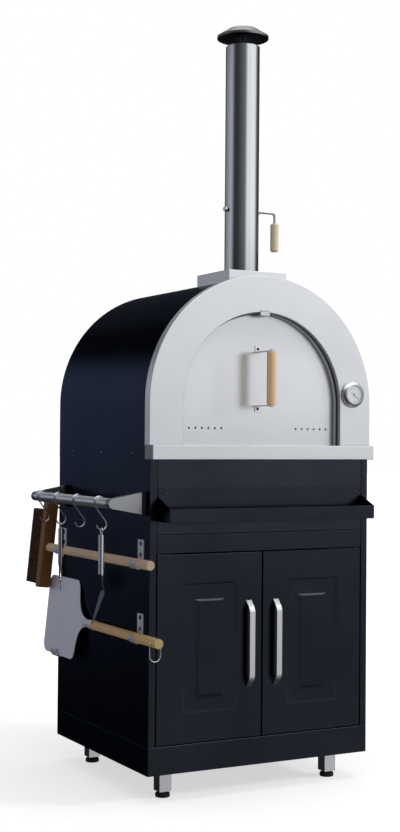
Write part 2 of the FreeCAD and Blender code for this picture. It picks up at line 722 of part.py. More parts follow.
# Oven: pan, slab, stones, chamber, lagging and skin
def make_hearth_pan():
    outer = box("pan_outer", ("-skin_inner", "ledge_rear", "cabinet_top"),
                ("2 * skin_inner", "half_depth - sheet - ledge_rear", "pan_flange"))
    inner = box("pan_inner", ("sheet - skin_inner", "ledge_rear + sheet", "cabinet_top + sheet"),
                ("2 * (skin_inner - sheet)", "half_depth - 3 * sheet - ledge_rear", "pan_flange"))
    node(cut("hearth_pan", outer, [inner]))


def make_stones():
    width = "chamber_radius - 2 * sheet - stone_gap"
    depth = "(stone_span - stone_gap) / 2"
    front = "stone_front"
    tiles = []
    for label, x in (("left", "-stone_gap / 2 - (%s)" % width), ("right", "stone_gap / 2")):
        for end, y in (("front", front), ("rear", front + " + stone_gap + " + depth)):
            tiles.append(box("stone_%s_%s" % (end, label), (x, y, "slab_top"),
                             (width, depth, "hearth - slab_top")))
    node(group("hearth_stones", tiles))


def make_insulation():
    """A slab under the stones and a thick arch between chamber and skin, open for the flue."""
    front = "chamber_front + lagging_gap"
    rear = "half_depth - sheet - lagging_gap"
    slab = box("slab", ("-(skin_inner - 2 * sheet)", "ledge_rear + 2 * sheet", "cabinet_top + sheet"),
               ("2 * (skin_inner - 2 * sheet)", "half_depth - 5 * sheet - ledge_rear", "slab_height"))
    outer = arch("lagging_outer", "skin_inner - lagging_gap", front, "%s - (%s)" % (rear, front),
                 "slab_top")
    inner = arch("lagging_inner", "chamber_radius + lagging_gap", front, "chamber_depth + lagging_gap",
                 "slab_top")
    flue = rod("lagging_flue", ("0", "flue_y", "spring"), "flue_radius", "skin_inner")
    node(group("insulation", [slab, cut("lagging", outer, [inner, flue])]))


def make_chamber():
    outer = arch("chamber_outer", "chamber_radius", "chamber_front", "chamber_depth", "slab_top")
    inner = arch("chamber_inner", "chamber_radius - sheet", "chamber_front", "chamber_depth - sheet",
                 "slab_top")
    flue = rod("chamber_flue", ("0", "flue_y", "spring"), "flue_inner", "skin_inner")
    node(cut("inner_chamber", outer, [inner, flue]))


def make_mouth_liner():
    """A band that lines the mouth, with a stop flange that the door closes against."""
    front = "fascia_front + sheet"
    band = arch("liner_band", "mouth_radius + sheet", front, "liner_depth", "hearth")
    stop = arch("liner_stop", "chamber_radius", "liner_rear", "sheet", "hearth")
    mouth = arch("liner_mouth", "mouth_radius", front, "liner_depth", "hearth")
    opening = arch("liner_opening", "mouth_radius - stop_lap", "liner_rear", "sheet", "hearth")
    node(cut("mouth_liner", fuse("liner_solid", [band, stop]), [mouth, opening]))


def make_skin():
    front = "fascia_front + sheet"
    depth = "half_depth - (%s)" % front
    outer = arch("skin_outer", "half_width", front, depth, "cabinet_top")
    inner = arch("skin_hollow", "skin_inner", front, depth, "cabinet_top")
    notch = box("skin_notch", ("-fascia_radius", front, "cabinet_top"),
                ("2 * fascia_radius", "ledge_rear - (%s)" % front, "ledge_height"))
    flue = rod("skin_flue", ("0", "flue_y", "spring"), "flue_radius", "cab_width")
    node(cut("dome_skin", outer, [inner, notch, flue]))
    node(arch("dome_rear_cover", "skin_inner", "half_depth - sheet", "sheet", "cabinet_top"))


def make_fascia():
    """The stainless front arch with its rim, mouth and thermometer hole."""
    outer = arch("fascia_outer", "fascia_radius", "fascia_front", "fascia_rim", "hearth")
    inner = arch("fascia_inner", "fascia_radius - sheet", "fascia_front + sheet", "fascia_rim - sheet",
                 "hearth")
    mouth = arch("fascia_mouth", "mouth_radius", "fascia_front", "sheet", "hearth")
    probe = rod("fascia_probe", ("dial_x", "fascia_front", "dial_z"), "probe_radius + fit_gap", "sheet",
                "y")
    node(cut("fascia", outer, [inner, mouth, probe]))


def make_ledge():
    """A stainless channel across the front with a tongue that carries the oven door."""
    outer = box("ledge_outer", ("-fascia_radius", "ledge_front", "cabinet_top"),
                ("2 * fascia_radius", "ledge_depth", "ledge_height"))
    inner = box("ledge_inner", ("sheet - fascia_radius", "ledge_front + sheet", "cabinet_top + sheet"),
                ("2 * (fascia_radius - sheet)", "ledge_depth", "ledge_height - 2 * sheet"))
    reach = "mouth_radius + 3 * sheet"
    tongue = box("ledge_tongue", ("-(%s)" % reach, "ledge_rear", "hearth - sheet"),
                 ("2 * (%s)" % reach, "tongue_depth", "sheet"))
    node(fuse("ledge", [cut("ledge_channel", outer, [inner]), tongue]))


# Oven door with its wooden grip
def make_oven_door():
    back = "door_face + oven_door_depth"
    outer = arch("oven_door_outer", "oven_door_radius", "door_face", "oven_door_depth", "hearth")
    inner = arch("oven_door_inner", "oven_door_radius - sheet", "door_face + sheet", "oven_door_depth",
                 "hearth + sheet")
    vents = []
    for label, start in (("left", "-vent_first - 5 * vent_pitch"), ("right", "vent_first")):
        for index in range(6):
            vents.append(rod("vent_%s_%d" % (label, index + 1),
                             ("%s + %d * vent_pitch" % (start, index), "door_face", "hearth + vent_height"),
                             "vent_radius", "oven_door_depth", "y"))
    mouth_top = "spring + mouth_radius"
    lap = box("tab_lap", ("-tab_width / 2", "fascia_front - sheet - slip", mouth_top + " - tab_drop"),
              ("tab_width", "sheet", "tab_drop + tab_lap"))
    leg = box("tab_leg", ("-tab_width / 2", "fascia_front - sheet - slip",
                          mouth_top + " - tab_drop - sheet"),
              ("tab_width", "door_face + sheet - fascia_front + sheet + slip", "sheet"))
    skin = cut("oven_door_pan", outer, [inner] + vents)
    node(fuse("oven_door_skin", [skin, lap, leg]))
    liner = arch("door_liner_plate", "oven_door_radius - sheet", back + " - sheet", "sheet",
                 "hearth + sheet")
    holes = []
    for vent in vents:
        hole = fresh("Part::Cylinder", vent.Name + "_rear")
        hole.Placement = vent.Placement
        bind(hole, "Radius", "vent_radius")
        bind(hole, "Height", "oven_door_depth")
        for axis in "xyz":
            hole.setExpression("Placement.Base." + axis, vent.Name + ".Placement.Base." + axis)
        holes.append(hole)
    node(cut("oven_door_liner", liner, holes))


def make_oven_handle():
    """Two bent brackets, a through bolt and a turned wooden grip."""
    left = "grip_x - bracket_width / 2"
    bolt_y = "door_face - grip_out"
    half = "grip_length / 2"
    pieces = []
    for label, side in (("upper", 1), ("lower", -1)):
        arm_z = "grip_mid + %s + slip" % half if side > 0 else "grip_mid - %s - slip - bracket_thick" % half
        foot_z = arm_z if side > 0 else "grip_mid - %s - slip - bracket_foot" % half
        arm = box("handle_arm_" + label, (left, bolt_y + " - bracket_width / 2", arm_z),
                  ("bracket_width", "grip_out + bracket_width / 2", "bracket_thick"))
        foot = box("handle_foot_" + label, (left, "door_face - bracket_thick", foot_z),
                   ("bracket_width", "bracket_thick", "bracket_foot"))
        hole = rod("handle_bore_" + label, ("grip_x", bolt_y, arm_z), "grip_bolt", "bracket_thick")
        screw = rod("handle_screw_" + label,
                    ("grip_x", "door_face - bracket_thick - screw_height", foot_z + " + bracket_foot / 2"),
                    "screw_radius", "screw_height", "y")
        pieces += [cut("handle_bracket_" + label, fuse("handle_strip_" + label, [arm, foot]), [hole]),
                   screw]
    node(group("oven_handle_brackets", pieces))
    bottom = "grip_mid - " + half
    turned_grip = [
        ("grip_bolt", "0"), ("grip_radius - grip_round", "0"), ("grip_radius", "1.5 * grip_round"),
        ("grip_radius", "grip_length - 1.5 * grip_round"), ("grip_radius - grip_round", "grip_length"),
        ("grip_bolt", "grip_length"),
    ]
    node(turned("oven_handle_grip", turned_grip, ("grip_x", bolt_y, bottom)))
    stem = rod("bolt_stem", ("grip_x", bolt_y, bottom + " - slip - bracket_thick"), "grip_bolt",
               "grip_length + 2 * (slip + bracket_thick)")
    heads = [
        rod("bolt_head_low", ("grip_x", bolt_y, bottom + " - slip - 2 * bracket_thick"), "grip_bolt * 1.6",
            "bracket_thick"),
        rod("bolt_head_high", ("grip_x", bolt_y, "grip_mid + %s + slip + bracket_thick" % half),
            "grip_bolt * 1.6",
            "bracket_thick"),
    ]
    node(fuse("oven_handle_bolt", [stem] + heads))


def make_thermometer():
    """A flared chrome case on a stem, with a needle under a glass."""
    case = fresh("PartDesign::Body", "thermometer_case")
    ring = "dial_radius"
    profile = [
        ("0", "0"), ("bezel_radius", "0"), ("bezel_radius", "bezel_out / 3"),
        (ring + " + bezel_flat", "bezel_out"), (ring, "bezel_out"), (ring, "dial_deep"), ("0", "dial_deep"),
    ]
    sketch = outline(case, "case_sketch", "XZ_Plane", profile)
    turn = case.newObject("PartDesign::Revolution", "case_turn")
    turn.Profile = sketch
    turn.ReferenceAxis = (sketch, ["V_Axis"])
    turn.Angle = 360
    case.Placement = FreeCAD.Placement(Vector(), FreeCAD.Rotation(Vector(1, 0, 0), 90))
    place(case, ("dial_x", "fascia_front", "dial_z"))
    probe = rod("thermometer_probe", ("dial_x", "fascia_front", "dial_z"), "probe_radius", "probe_length",
                "y")
    pin_length = "2.5 * needle_thick"
    pin = rod("dial_pin", ("dial_x", "fascia_front - dial_deep - " + pin_length, "dial_z"), "needle_pin",
              pin_length, "y")
    node(fuse("thermometer", [case, probe, pin]))
    hub = tube("dial_hub", ("0", "0", "0"), "needle_hub", "needle_pin + fit_gap", "needle_thick", "y")
    start = "2 * needle_pin"
    hand = box("dial_hand", ("-needle_width / 2", "0", start),
               ("needle_width", "needle_thick", "needle_length - " + start))
    needle = fuse("thermometer_needle", [hub, hand])
    needle.Placement = FreeCAD.Placement(Vector(), FreeCAD.Rotation(Vector(0, 1, 0), -num("needle_angle")))
    place(needle, ("dial_x", "fascia_front - dial_deep - 2 * needle_thick", "dial_z"))
    node(needle)
    node(rod("thermometer_glass", ("dial_x", "fascia_front - bezel_out + glass_inset", "dial_z"), ring,
             "glass_thick", "y"))


# Flue: collar box, spigot, chimney, cap and damper
def make_flue():
    half = "collar_width / 2"
    outer = box("collar_outer", ("-" + half, "flue_y - " + half, "spring"),
                ("collar_width", "collar_width", "half_width + collar_height"))
    inner = box("collar_inner", ("sheet - " + half, "flue_y - %s + sheet" % half, "spring"),
                ("collar_width - 2 * sheet", "collar_width - 2 * sheet",
                 "half_width + collar_height - sheet"))
    dome = arch("collar_dome", "half_width", "-half_depth", "cab_depth", "cabinet_top")
    hole = rod("collar_hole", ("0", "flue_y", "spring"), "flue_inner - slip", "cab_width")
    node(cut("flue_collar", outer, [inner, dome, hole]))
    low = "spring + chamber_radius - 10"
    node(tube("flue_spigot", ("0", "flue_y", low), "flue_inner - slip", "flue_inner - slip - flue_wall",
              "collar_top + spigot_up - (%s)" % low))
    pipe = tube("chimney_pipe", ("0", "flue_y", "collar_top"), "flue_radius", "flue_inner", "flue_height")
    spindle = rod("chimney_spindle_hole", ("-flue_radius - 1", "flue_y", "damper_z"),
                  "rod_radius + fit_gap",
                  "2 * flue_radius + 2", "x")
    node(cut("chimney", pipe, [spindle]))


def make_cap():
    """A cone with a flat top on a post that stands on a cross bar in the pipe."""
    wall, crown = "flue_wall * 1.3", "cap_lip + cap_height"
    points = [
        ("0", crown), ("cap_top_radius", crown), ("cap_radius", "cap_lip"), ("cap_radius", "0"),
        ("cap_radius - flue_wall", "0"), ("cap_radius - flue_wall", "cap_lip - flue_wall / 2"),
        ("cap_top_radius", "%s - %s" % (crown, wall)), ("0", "%s - %s" % (crown, wall)),
    ]
    cone = turned("cap_cone", points, ("0", "flue_y", "cap_rim"))
    foot = "chimney_top - cross_drop"
    post = rod("cap_post", ("0", "flue_y", foot), "post_radius", "cap_top - (%s) - flue_wall" % foot)
    bar = box("cap_bar", ("-flue_inner", "flue_y - cross_bar / 2", foot + " - cross_bar / 2"),
              ("2 * flue_inner", "cross_bar", "cross_bar / 2"))
    round_bore = rod("cap_bar_limit", ("0", "flue_y", foot + " - cross_bar"), "flue_inner", "2 * cross_bar")
    node(fuse("chimney_cap", [cone, post, common("cap_cross_bar", bar, round_bore)]))


def make_damper():
    """A slotted rod with its nut and collar, a round plate and a wooden grip."""
    y, z = num("flue_y"), num("damper_z")
    radius, bend = num("rod_radius"), num("rod_bend")
    reach, end = num("rod_reach"), num("flue_radius") + num("slip") + num("knob_length")
    turn_x, grip_end = reach - bend, z - num("damper_grip_drop") - num("damper_grip_length") / 2
    knee = Vector(turn_x + bend * math.sin(math.pi / 4), y, z - bend + bend * math.cos(math.pi / 4))
    path = [
        Part.LineSegment(Vector(-end, y, z), Vector(turn_x, y, z)).toShape(),
        Part.Arc(Vector(turn_x, y, z), knee, Vector(reach, y, z - bend)).toShape(),
        Part.LineSegment(Vector(reach, y, z - bend), Vector(reach, y, grip_end)).toShape(),
    ]
    bar = shaped("damper_bar", along(path, radius))
    start = "flue_radius + slip"
    knobs = [
        rod("damper_nut", ("-(%s) - knob_length" % start, "flue_y", "damper_z"), "knob_radius",
            "knob_length", "x"),
        rod("damper_collar", (start, "flue_y", "damper_z"), "knob_radius", "knob_length", "x"),
    ]
    plate_radius = "flue_inner - plate_gap"
    plate = rod("damper_plate", ("0", "flue_y - flue_wall / 2", "damper_z"), plate_radius, "flue_wall", "y")
    slot = rod("damper_slot", ("0", "flue_y - flue_wall / 2", "damper_z"), plate_radius, "flue_wall", "y")
    node(cut("damper_rod", fuse("damper_rod_solid", [bar] + knobs), [slot]))
    node(plate)
    grip = [
        ("0", "0"), ("damper_grip_radius - 1.5 * grip_round", "0"),
        ("damper_grip_radius", "2 * grip_round"),
        ("damper_grip_radius", "damper_grip_length - 2 * grip_round"),
        ("damper_grip_radius - 1.5 * grip_round", "damper_grip_length"),
        ("0", "damper_grip_length"),
    ]
    bottom = "damper_z - damper_grip_drop - damper_grip_length"
    wood = turned("damper_grip_wood", grip, ("rod_reach", "flue_y", bottom))
    bore = rod("damper_grip_bore", ("rod_reach", "flue_y", bottom + " + damper_grip_length / 2"),
               "rod_radius",
               "damper_grip_length")
    node(cut("damper_grip", wood, [bore]))


# Side rail with its brackets and hooks
def make_rail():
    node(tube("side_rail", ("rail_x", "rail_start", "rail_height"), "rail_radius", "rail_radius - sheet",
              "rail_end - rail_start", "y"))
    pieces = []
    for label, side in (("front", -1), ("rear", 1)):
        near = "rail_start - rail_arm" if side < 0 else "rail_end"
        foot_x = "-half_width - rail_foot"
        flare = [
            ("rail_x", "rail_height - rail_radius"), (foot_x, "rail_height - rail_flare / 2"),
            (foot_x, "rail_height + rail_flare / 2"), ("rail_x", "rail_height + rail_radius"),
        ]
        arm = fresh("PartDesign::Body", "rail_arm_" + label)
        sketch = outline(arm, "rail_arm_sketch_" + label, "XZ_Plane", flare)
        pad = arm.newObject("PartDesign::Pad", "rail_arm_pad_" + label)
        pad.Profile = sketch
        pad.Reversed = True
        bind(pad, "Length", "rail_arm")
        place(arm, ("0", near, "0"))
        head = rod("rail_head_" + label, ("rail_x", near, "rail_height"), "rail_radius", "rail_arm", "y")
        spigot_y = "rail_start" if side < 0 else "rail_end - rail_arm"
        spigot = rod("rail_spigot_" + label, ("rail_x", spigot_y, "rail_height"), "rail_radius - sheet",
                     "rail_arm", "y")
        pieces.append(fuse("rail_bracket_" + label, [arm, head, spigot]))
        middle = "%s + rail_arm / 2 - rail_foot_width / 2" % near
        pieces.append(box("rail_foot_" + label, (foot_x, middle, "rail_height - rail_foot_height / 2"),
                          ("rail_foot", "rail_foot_width", "rail_foot_height")))
    node(group("rail_brackets", pieces))


HOOKS = {"s_hook_1": "half_depth - hook_first", "s_hook_2": "hook_second",
         "s_hook_3": "hook_third", "s_hook_4": "hook_fourth"}


def make_hooks():
    """S-hooks of round wire: an upper curl over the rail, a straight and a lower curl."""
    upper, lower = num("hook_upper"), num("hook_lower")
    top = Vector(num("rail_x"), 0, num("rail_height"))
    curl = Vector(num("curl_x"), 0, num("curl_z"))
    apart = curl - top
    lean = math.atan2(apart.x, -apart.z)
    cross = math.acos((upper + lower) / apart.Length)
    leave = -math.pi / 2 + lean - cross

    def on(centre, radius, angle):
        return centre + Vector(radius * math.cos(angle), 0, radius * math.sin(angle))

    def arc(centre, radius, first, last):
        middle = (first + last) / 2
        return Part.Arc(on(centre, radius, first), on(centre, radius, middle),
                        on(centre, radius, last)).toShape()

    open_end = math.radians(-15)
    meet = leave + 2 * math.pi
    path = [
        arc(top, upper, open_end, (open_end + meet) / 2),
        arc(top, upper, (open_end + meet) / 2, meet),
        Part.LineSegment(on(top, upper, leave), on(curl, lower, leave + math.pi)).toShape(),
        arc(curl, lower, leave + math.pi, leave + math.pi - math.radians(110)),
        arc(curl, lower, leave + math.pi - math.radians(110), leave + math.pi - math.radians(215)),
    ]
    wire = along(path, num("wire_radius"))
    for name, along_rail in HOOKS.items():
        hook = shaped(name, wire)
        bind(hook, "Placement.Base.y", along_rail)
        node(hook)


STRIP_HOLES = ("strip_hole_drop", "(strip_hole_drop + strip_hole_pitch)")


def make_j_brackets():
    """Four drilled strips that turn out and up under a pole."""
    seats = [
        ("upper_front", "front_seat", "brush_height", "trough"),
        ("upper_rear", "rear_seat", "brush_height", "trough"),
        ("lower_front", "front_seat", "peel_height", "trough"),
        ("lower_rear", "rear_seat", "peel_height - blade_half + blade_trough - blade_seat", "blade_trough"),
    ]
    brackets = []
    for label, y, z, reach in seats:
        front = y + " - strip_width / 2"
        middle = "-half_width - strip_thick - " + reach
        strip = box("strip_" + label, ("-half_width - strip_thick", front, z),
                    ("strip_thick", "strip_width", "strip_rise"))
        deep = reach + " + strip_thick"
        lip_x = "%s - %s - strip_thick" % (middle, reach)
        ring = tube("bend_" + label, (middle, front, z), deep, reach, "strip_width", "y")
        low = box("bend_low_" + label, (lip_x, front, "%s - (%s)" % (z, deep)),
                  ("2 * (%s)" % deep, "strip_width", deep))
        lip = box("lip_" + label, (lip_x, front, z), ("strip_thick", "strip_width", "lip_rise"))
        holes = [
            rod("strip_hole_%s_%d" % (label, index),
                ("-half_width - 2 * strip_thick", y, z + " + strip_rise - " + drop),
                "strip_hole", "3 * strip_thick", "x")
            for index, drop in enumerate(STRIP_HOLES)
        ]
        bent = fuse("bracket_solid_" + label, [strip, common("bend_half_" + label, ring, low), lip])
        brackets.append(cut("j_bracket_" + label, bent, holes))
    node(group("j_brackets", brackets))
    return seats


def make_screws(seats):
    """Small round heads on the outside of the sheet metal."""
    heads = []
    for label, side in (("left", -1), ("right", 1)):
        middle = ("%d * (tray_half - tray_screw_inset)" % side, "-half_depth - sheet - screw_height",
                  "tray_top - tray_screw_drop")
        heads.append(rod("tray_screw_" + label, middle, "screw_radius", "screw_height", "y"))
        start = "-half_width - screw_height" if side < 0 else "half_width"
        for index in range(3):
            y = "skin_screw_front - half_depth + %d * skin_screw_pitch" % index
            heads.append(rod("skin_screw_%s_%d" % (label, index),
                             (start, y, "cabinet_top + pan_flange / 2"),
                             "screw_radius", "screw_height", "x"))
    for label, y, z, reach in seats:
        for index, drop in enumerate(STRIP_HOLES):
            heads.append(rod("strip_screw_%s_%d" % (label, index),
                             ("-half_width - screw_height", y, z + " + strip_rise - " + drop),
                             "strip_hole - slip", "screw_height", "x"))
    node(group("body_screws", heads))


# Brush and peel on their poles
def make_brush():
    node(rod("brush_pole", ("pole_x", "-half_depth - brush_front", "brush_height"), "pole_radius",
             "cab_depth + brush_front + brush_rear", "y"))
    low, high = "block_raise - block_length / 2", "block_raise + block_length / 2"
    deep, end = "block_thick", "block_thick + bristle_length"
    round_end = "0.25 * block_thick"
    head = [
        (deep, low), (deep, high), (round_end, high), ("0", "%s - %s" % (high, round_end)),
        ("0", "%s + %s" % (low, round_end)), (round_end, low),
    ]
    field = "(bristle_field / 2)"
    tuft = [(deep, "-" + field), (end, "-" + field), (end, field), (deep, field)]
    slide_out = "pole_x - block_shift"
    for name, points, width in (("brush_head", head, "block_width"),
                                ("brush_bristles", tuft, "block_width - 2 * bristle_margin")):
        piece = padded(name, "YZ_Plane", points, width,
                       (slide_out, "half_depth + brush_rear", "brush_height"), True)
        piece.Placement.Rotation = FreeCAD.Rotation(Vector(0, 1, 0), num("tool_angle"))
        bind(piece, "Placement.Rotation.Angle", "tool_angle")
        node(piece)


def stroke(points):
    """A straight edge, an arc or a smooth curve, by how many points it is given."""
    if len(points) == 2:
        return Part.LineSegment(*points).toShape()
    if len(points) == 3:
        return Part.Arc(*points).toShape()
    curve = Part.BSplineCurve()
    curve.interpolate(points)
    return curve.toShape()


def blade_face():
    """The peel blade in its own plane: x along the pole, y across."""
    rear, half, neck = num("blade_end"), num("blade_half"), num("neck_half")
    start, shoulder = num("neck_start"), num("shoulder")
    corner, cut_back = num("blade_corner"), num("shoulder_corner")
    point = Vector(start + shoulder, half, 0)
    hollow = [Vector(start + along_it * shoulder, neck + across * (half - neck), 0)
              for along_it, across in ((0, 0), (0.29, 0.04), (0.54, 0.15), (0.76, 0.42), (0.88, 0.8))]
    before = point - (point - hollow[-1]).normalize() * cut_back
    after = point + Vector(cut_back, 0, 0)
    bow = (before + after) * 0.35 + point * 0.3
    bite = corner * (1 - math.sqrt(0.5))
    turn = [Vector(rear - corner, half, 0), Vector(rear - bite, half - bite, 0),
            Vector(rear, half - corner, 0)]

    def mirrored(spot):
        return Vector(spot.x, -spot.y, 0)

    def side(flip):
        keep = mirrored if flip else (lambda spot: spot)
        steps = [hollow, [hollow[-1], before], [before, bow, after], [after, turn[0]], turn]
        return [[keep(spot) for spot in step] for step in steps]

    lower = [step[::-1] for step in side(True)[::-1]]
    neck_end = [Vector(start, -neck, 0), Vector(start, neck, 0)]
    rim = side(False) + [[turn[2], mirrored(turn[2])]] + lower + [neck_end]
    return Part.Face(Part.Wire([stroke(step) for step in rim]))


def make_peel():
    thick = num("blade_thick")
    upright = FreeCAD.Placement(Vector(),
                                FreeCAD.Rotation(Vector(0, 1, 0), Vector(0, 0, 1), Vector(1, 0, 0), "XYZ"))
    rolled = FreeCAD.Placement(
        Vector(num("pole_x"), 0, num("peel_height")), FreeCAD.Rotation(Vector(0, 1, 0), num("tool_angle")))
    blade = blade_face().extrude(Vector(0, 0, thick))
    blade.translate(Vector(0, 0, -thick / 2))
    peel_blade = shaped("peel_blade", blade)
    peel_blade.Placement = rolled.multiply(upright)
    node(peel_blade)

    pole = rod("pole_round", ("pole_x", "pole_start", "peel_height"), "pole_radius",
               "pole_end - pole_start", "y")
    tenon = rod("pole_tenon", ("pole_x", "pole_end", "peel_height"), "pole_radius - tenon_step",
                "tenon_length", "y")
    hole = rod("pole_loop_hole", ("pole_x - pole_radius", "pole_start + loop_back", "peel_height"),
               "loop_wire + fit_gap", "2 * pole_radius", "x")
    node(cut("peel_pole", fuse("pole_solid", [pole, tenon]), [hole]))

    start, tip = num("pole_end"), num("neck_start")
    cone = Part.makeCone(num("ferrule_radius"), num("neck_half") - 1, tip - start, Vector(0, start, 0),
                         Vector(0, 1, 0))
    bore = Part.makeCylinder(num("pole_radius") - num("tenon_step"), num("tenon_length"),
                             Vector(0, start, 0), Vector(0, 1, 0))
    width = num("neck_half") - 1
    tongue = Part.makeBox(thick, num("ferrule_tongue"), 2 * width, Vector(-1.5 * thick, tip - 6, -width))
    solid = cone.cut(bore).fuse(tongue).removeSplitter()
    for along_y, up in ((tip + 18, width / 2), (tip + 18, -width / 2), (tip + 38, 0)):
        head = Part.makeCylinder(num("rivet_radius"), thick, Vector(-2.5 * thick, along_y, up),
                                 Vector(1, 0, 0))
        solid = solid.fuse(head)
    ferrule = shaped("peel_ferrule", solid.removeSplitter())
    ferrule.Placement = rolled
    node(ferrule)

    half = num("pole_radius") + 2 * num("loop_wire")
    y, z = num("loop_back") + num("pole_start"), num("peel_height")
    x, low = num("pole_x"), num("peel_height") - num("loop_drop") + half
    turn = 2 * num("loop_wire")
    dip = turn * (1 - math.sqrt(0.5))
    path = [
        Part.LineSegment(Vector(x - half + 2 * turn, y, z), Vector(x - half + turn, y, z)).toShape(),
        Part.Arc(Vector(x - half + turn, y, z), Vector(x - half + dip, y, z - dip),
                 Vector(x - half, y, z - turn)).toShape(),
        Part.LineSegment(Vector(x - half, y, z - turn), Vector(x - half, y, low)).toShape(),
        Part.Arc(Vector(x - half, y, low), Vector(x, y, low - half), Vector(x + half, y, low)).toShape(),
        Part.LineSegment(Vector(x + half, y, low), Vector(x + half, y, z - turn)).toShape(),
        Part.Arc(Vector(x + half, y, z - turn), Vector(x + half - dip, y, z - dip),
                 Vector(x + half - turn, y, z)).toShape(),
        Part.LineSegment(Vector(x + half - turn, y, z), Vector(x + half - 2 * turn, y, z)).toShape(),
    ]
    node(shaped("peel_loop", along(path, num("loop_wire"))))


# Cutter and server on their hooks
def tool_handle(length):
    """A turned handle under a wire eye, hanging from the origin."""
    eye, wire = num("eye_radius"), num("eye_wire")
    ring = Part.makeTorus(eye + wire, wire, Vector(), Vector(1, 0, 0))
    neck_top = -(eye + 2 * wire)
    stem = Part.makeCylinder(wire * 1.5, 6, Vector(0, 0, neck_top + wire), Vector(0, 0, -1))
    grip_top = neck_top - 2
    grip = Part.makeCylinder(num("handle_radius"), length, Vector(0, 0, grip_top), Vector(0, 0, -1))
    return ring.fuse([stem, grip]).removeSplitter(), grip_top - length


def make_cutter():
    handle, low = tool_handle(num("cutter_handle"))
    axis_z = -num("wheel_drop")
    thick, fork, width = num("wheel_thick"), num("fork_thick"), num("fork_width")
    axle, length = num("wheel_axle"), num("bolster")
    inner = thick / 2 + num("fork_gap")
    top = low - 0.8 * length
    solid = handle.fuse(Part.makeCone(num("handle_radius") - 1, inner + fork, length, Vector(0, 0, low),
                                      Vector(0, 0, -1)))
    for start in (-inner - fork, inner):
        solid = solid.fuse(Part.makeBox(fork, width, top - axis_z, Vector(start, -width / 2, axis_z)))
        solid = solid.fuse(Part.makeCylinder(width / 2, fork, Vector(start, 0, axis_z), Vector(1, 0, 0)))
    solid = solid.fuse(Part.makeCylinder(axle, 2 * (inner + fork), Vector(-inner - fork, 0, axis_z),
                                         Vector(1, 0, 0)))
    solid = solid.removeSplitter()
    wheel = Part.makeCylinder(num("wheel_radius"), thick, Vector(-thick / 2, 0, axis_z), Vector(1, 0, 0))
    hole = Part.makeCylinder(axle + num("fit_gap"), thick, Vector(-thick / 2, 0, axis_z), Vector(1, 0, 0))
    wheel = wheel.cut(hole)
    at = FreeCAD.Placement(Vector(num("curl_x"), num("hook_second"), num("eye_z")),
                           FreeCAD.Rotation(Vector(0, 0, 1), num("cutter_angle")))
    for name, shape in (("pizza_cutter", solid), ("cutter_wheel", wheel)):
        piece = shaped(name, shape)
        piece.Placement = at
        node(piece)


def make_server():
    handle, low = tool_handle(num("server_handle"))
    radius, straight = num("server_neck"), num("server_straight")
    drop, jog, aside = num("server_drop"), num("server_jog"), num("server_offset")
    bend, elbow = Vector(jog, 0, straight - drop), Vector(aside, 0, low - straight)
    neck = Part.makeCylinder(radius, straight, Vector(aside, 0, low), Vector(0, 0, -1))
    neck = neck.fuse(Part.makeSphere(radius, elbow))
    neck = neck.fuse(Part.makeCylinder(radius, bend.Length + 2, elbow, bend))
    half, length, thick = num("server_width") / 2, num("server_blade"), num("server_thick")
    corners = [(-radius, 4), (-half, -10), (-half * 0.45, -length * 0.75), (0, -length),
               (half * 0.45, -length * 0.75), (half, -10), (radius, 4)]
    wire = Part.makePolygon([Vector(0, across, down) for across, down in corners + corners[:1]])
    plate = Part.Face(wire).extrude(Vector(thick, 0, 0))
    plate.rotate(Vector(), Vector(0, 1, 0), num("server_angle"))
    plate.translate(Vector(aside + jog - thick / 2, 0, low - drop))
    server = shaped("pizza_server", handle.fuse([neck, plate]).removeSplitter())
    server.Placement = FreeCAD.Placement(
        Vector(num("curl_x"), num("hook_fourth"), num("eye_z")), FreeCAD.Rotation())
    node(server)


def build():
    make_plinth()
    make_side_panel("side_panel_left", -1)
    make_side_panel("side_panel_right", 1)
    make_rear_panel()
    make_front_panel("upper_front_panel", "upper_bottom", "upper_height", "cabinet_top - sheet", "flange")
    make_front_panel("door_header", "header_bottom", "header_height", "header_bottom", "header_lip")
    make_support_frame()
    make_feet()
    make_door("cabinet_door_left", -1)
    make_door("cabinet_door_right", 1)
    make_bow_handle("door_handle_left", -1)
    make_bow_handle("door_handle_right", 1)
    make_pivot_pins()
    make_catches()
    make_tray()
    make_hearth_pan()
    make_stones()
    make_insulation()
    make_chamber()
    make_mouth_liner()
    make_skin()
    make_fascia()
    make_ledge()
    make_oven_door()
    make_oven_handle()
    make_thermometer()
    make_flue()
    make_cap()
    make_damper()
    make_rail()
    make_hooks()
    make_screws(make_j_brackets())
    make_brush()
    make_peel()
    make_cutter()
    make_server()


build()
doc.recompute()

failed = [item.Name for item in doc.Objects if "Invalid" in item.State or "Error" in item.State]
broken = [item.Label for item in NODES if item.Shape.isNull() or not item.Shape.isValid()]
if failed or broken:
    raise RuntimeError("failed objects: %s, broken shapes: %s" % (failed, broken))
for item in NODES:
    item.Shape.exportStep("parts/%s.step" % item.Label)
print(len(NODES), "nodes written")
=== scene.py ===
"""Looks for an outdoor pizza oven table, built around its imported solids.

The solids give every place and size. This file gives them their finishes, rounds the folds of
the sheet metal and the edges of the bars and wood, and makes the brush, the screw heads and
the thermometer in detail.
"""

